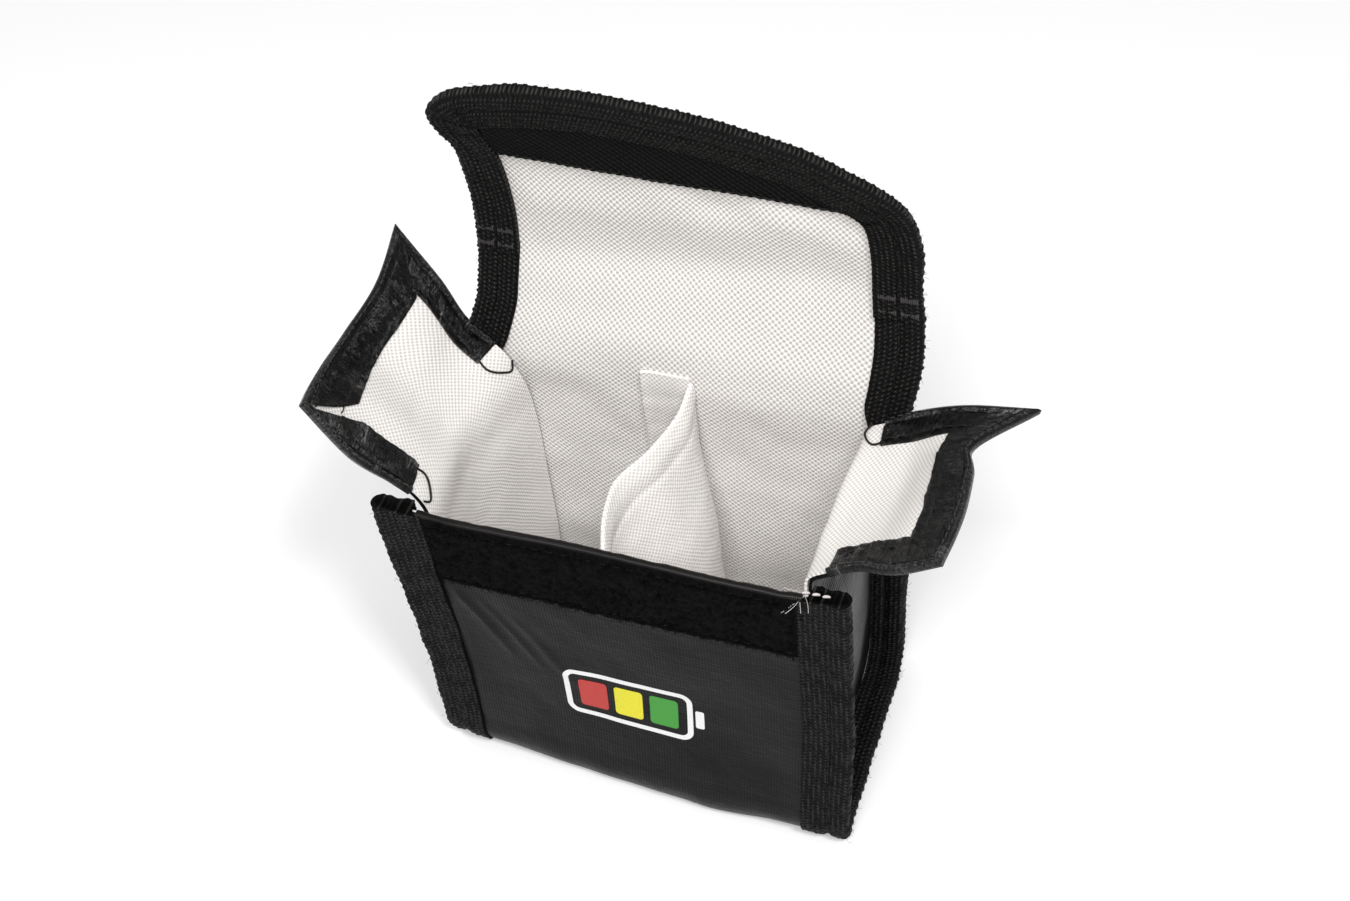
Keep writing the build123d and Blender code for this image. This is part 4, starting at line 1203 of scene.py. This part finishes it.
# ---------------------------------------------------------------- loose thread ends
# (down from near the hem's end, in from the side edge) along a loop of thread
THREAD_ROUTE = [(0, 7.2), (2.6, 7.7), (5.4, 5.0), (6.4, 2.6), (4.8, 0.8)]
for word, place, to_back in (("left", "front", -1), ("left", "back", 1), ("right", "back", 1)):
    sheet, fold = EARS[word]
    route = [sheet.at(EAR_REACH - 0.6 + d, to_back * (sheet.half - e), 0.55) for d, e in THREAD_ROUTE]
    line = through(np.array(route), 40)
    loop = tubes(word + "_" + place + "_thread_end", [line], 0.24, THREAD, sides=8)
    settle(loop, "thread_black", fold)

rng = np.random.default_rng(616)
corner = bag_point(39.5, 0.2, -1.8)
wisps = []
for _ in range(7):
    reach = rng.uniform(2.5, 6.5)
    aim = np.array([rng.uniform(-1.0, 0.25), rng.uniform(-0.6, 0.2), rng.uniform(-0.5, 1.0)])
    aim /= np.linalg.norm(aim)
    side_way = np.cross(aim, [0.3, 0.5, 0.8]) * rng.uniform(-1.2, 1.2)
    q = np.linspace(0, 1, 12)[:, None]
    start = corner + np.array([rng.uniform(-0.6, 2.0), 0.3, rng.uniform(-0.3, 0.4)])
    wisps.append(start + aim * reach * q + side_way * np.sin(q * 2.6) + np.array([0, 0, -1.4]) * q**2)
knots = []
for k in range(3):
    at = bag_point(40.6 + 2.1 * k, 0.1, -1.5) + np.array([0, 0, 0.55])
    q = np.linspace(-1, 1, 10)[:, None]
    knots.append(at + q * np.array([0.75, 0.25, -0.1]) + np.array([0, 0, 0.25]) * (1 - q**2))
settle(tubes("frayed_lining_threads", wisps, 0.055, THREAD_WHITE), "glass_cloth", on_bag)
knotted = tubes("corner_white_stitches", knots, 0.3, THREAD_WHITE, sides=10, taper=0.6)
settle(knotted, "glass_cloth", on_bag)


# ---------------------------------------------------------------- broken fibres along the edge tapes
def fringe(name, edge, count, seed, carry):
    """Short curled fibres standing off the folded edge of a tape, edge being (x, s) stations."""
    draw = np.random.default_rng(seed)
    fibres = []
    for _ in range(count):
        x, s = edge[draw.integers(4, len(edge) - 4)]
        root = bag_point(x * 0.994, s, draw.uniform(-2.6, 0.1))
        aim = draw.normal(size=3) + np.array([np.sign(x) * 1.4, 0, 0.3])
        aim /= np.linalg.norm(aim)
        bow = np.cross(aim, draw.normal(size=3)) * draw.uniform(0.1, 0.5)
        q = np.linspace(0, 1, 6)[:, None]
        fibre = root + aim * q * draw.uniform(0.6, 1.4) + bow * np.sin(q * 3)
        fibres.append(np.maximum(fibre, [-np.inf, -np.inf, FLOOR_GAP]))
    settle(tubes(name, fibres, 0.03, THREAD_GREY, sides=3), "binding_tape", carry)


for side, word in ((-1, "left"), (1, "right")):
    fringe("side_tape_fringe_" + word, side_outline(side, S_JOIN)[0], 110, 700 + side, over_lid)
fringe("tip_tape_fringe", tip_outline, 120, 703, over_tongue)

# ---------------------------------------------------------------- floor, light, camera
PAPER_HALF = 3
WORLD_LIGHT = 0.44
floor = bpy.data.meshes.new("floor")
corners = [(x * PAPER_HALF, y * PAPER_HALF, 0) for x, y in ((-1, -1), (1, -1), (1, 1), (-1, 1))]
floor.from_pydata(corners, [], [(0, 1, 2, 3)])
floor_obj = bpy.data.objects.new("floor", floor)
bpy.context.scene.collection.objects.link(floor_obj)
paper = bpy.data.materials.new("white_paper")
paper.use_nodes = True
shader = paper.node_tree.nodes["Principled BSDF"]
shader.inputs["Base Color"].default_value = (0.97, 0.97, 0.97, 1)
shader.inputs["Roughness"].default_value = 0.9
shader.inputs["Specular IOR Level"].default_value = 0.1
floor.materials.append(paper)

world = bpy.context.scene.world or bpy.data.worlds.new("world")
bpy.context.scene.world = world
world.use_nodes = True
world.node_tree.nodes["Background"].inputs["Color"].default_value = (1, 1, 1, 1)
world.node_tree.nodes["Background"].inputs["Strength"].default_value = WORLD_LIGHT


def area_light(name, place, target, size, power):
    data = bpy.data.lights.new(name, "AREA")
    data.shape, data.size, data.energy = "SQUARE", size, power
    lamp = bpy.data.objects.new(name, data)
    lamp.location = place
    lamp.rotation_euler = (Vector(target) - Vector(place)).to_track_quat("-Z", "Y").to_euler()
    bpy.context.scene.collection.objects.link(lamp)


area_light("top", (0.05, -0.10, 1.10), (0, 0, 0.05), 0.7, 0.7)
area_light("front", (0.11, -0.60, 0.92), (0, 0, 0.06), 0.32, 6.1)
area_light("key", (0.42, -0.34, 1.00), (0, 0, 0.06), 0.18, 4.7)
area_light("glint", (-0.55, 0.10, 0.55), (0, 0, 0.08), 0.06, 0.45)

# The view: a 48.77 mm lens, looking down 48 degrees from the front right.
EYE = Vector((105.06, -232.55, 367.95)) * MM
LOOK = Vector((-0.26417, 0.61754, -0.74085)).normalized()
ROLL = math.radians(-6.42)
LENS = 48.77
right = LOOK.cross(Vector((0, 0, 1))).normalized()
upward = right.cross(LOOK)
r = right * math.cos(ROLL) + upward * math.sin(ROLL)
u = -right * math.sin(ROLL) + upward * math.cos(ROLL)
turned = Matrix((r, u, -LOOK)).transposed().to_4x4()
view = bpy.data.cameras.new("camera")
view.lens, view.sensor_width = LENS, 36.0
view.clip_start, view.clip_end = 0.01, 20.0
camera = bpy.data.objects.new("camera", view)
camera.matrix_world = Matrix.Translation(EYE) @ turned
bpy.context.scene.collection.objects.link(camera)
bpy.context.scene.camera = camera

bpy.context.scene.view_settings.view_transform = "Standard"

bpy.context.view_layer.update()
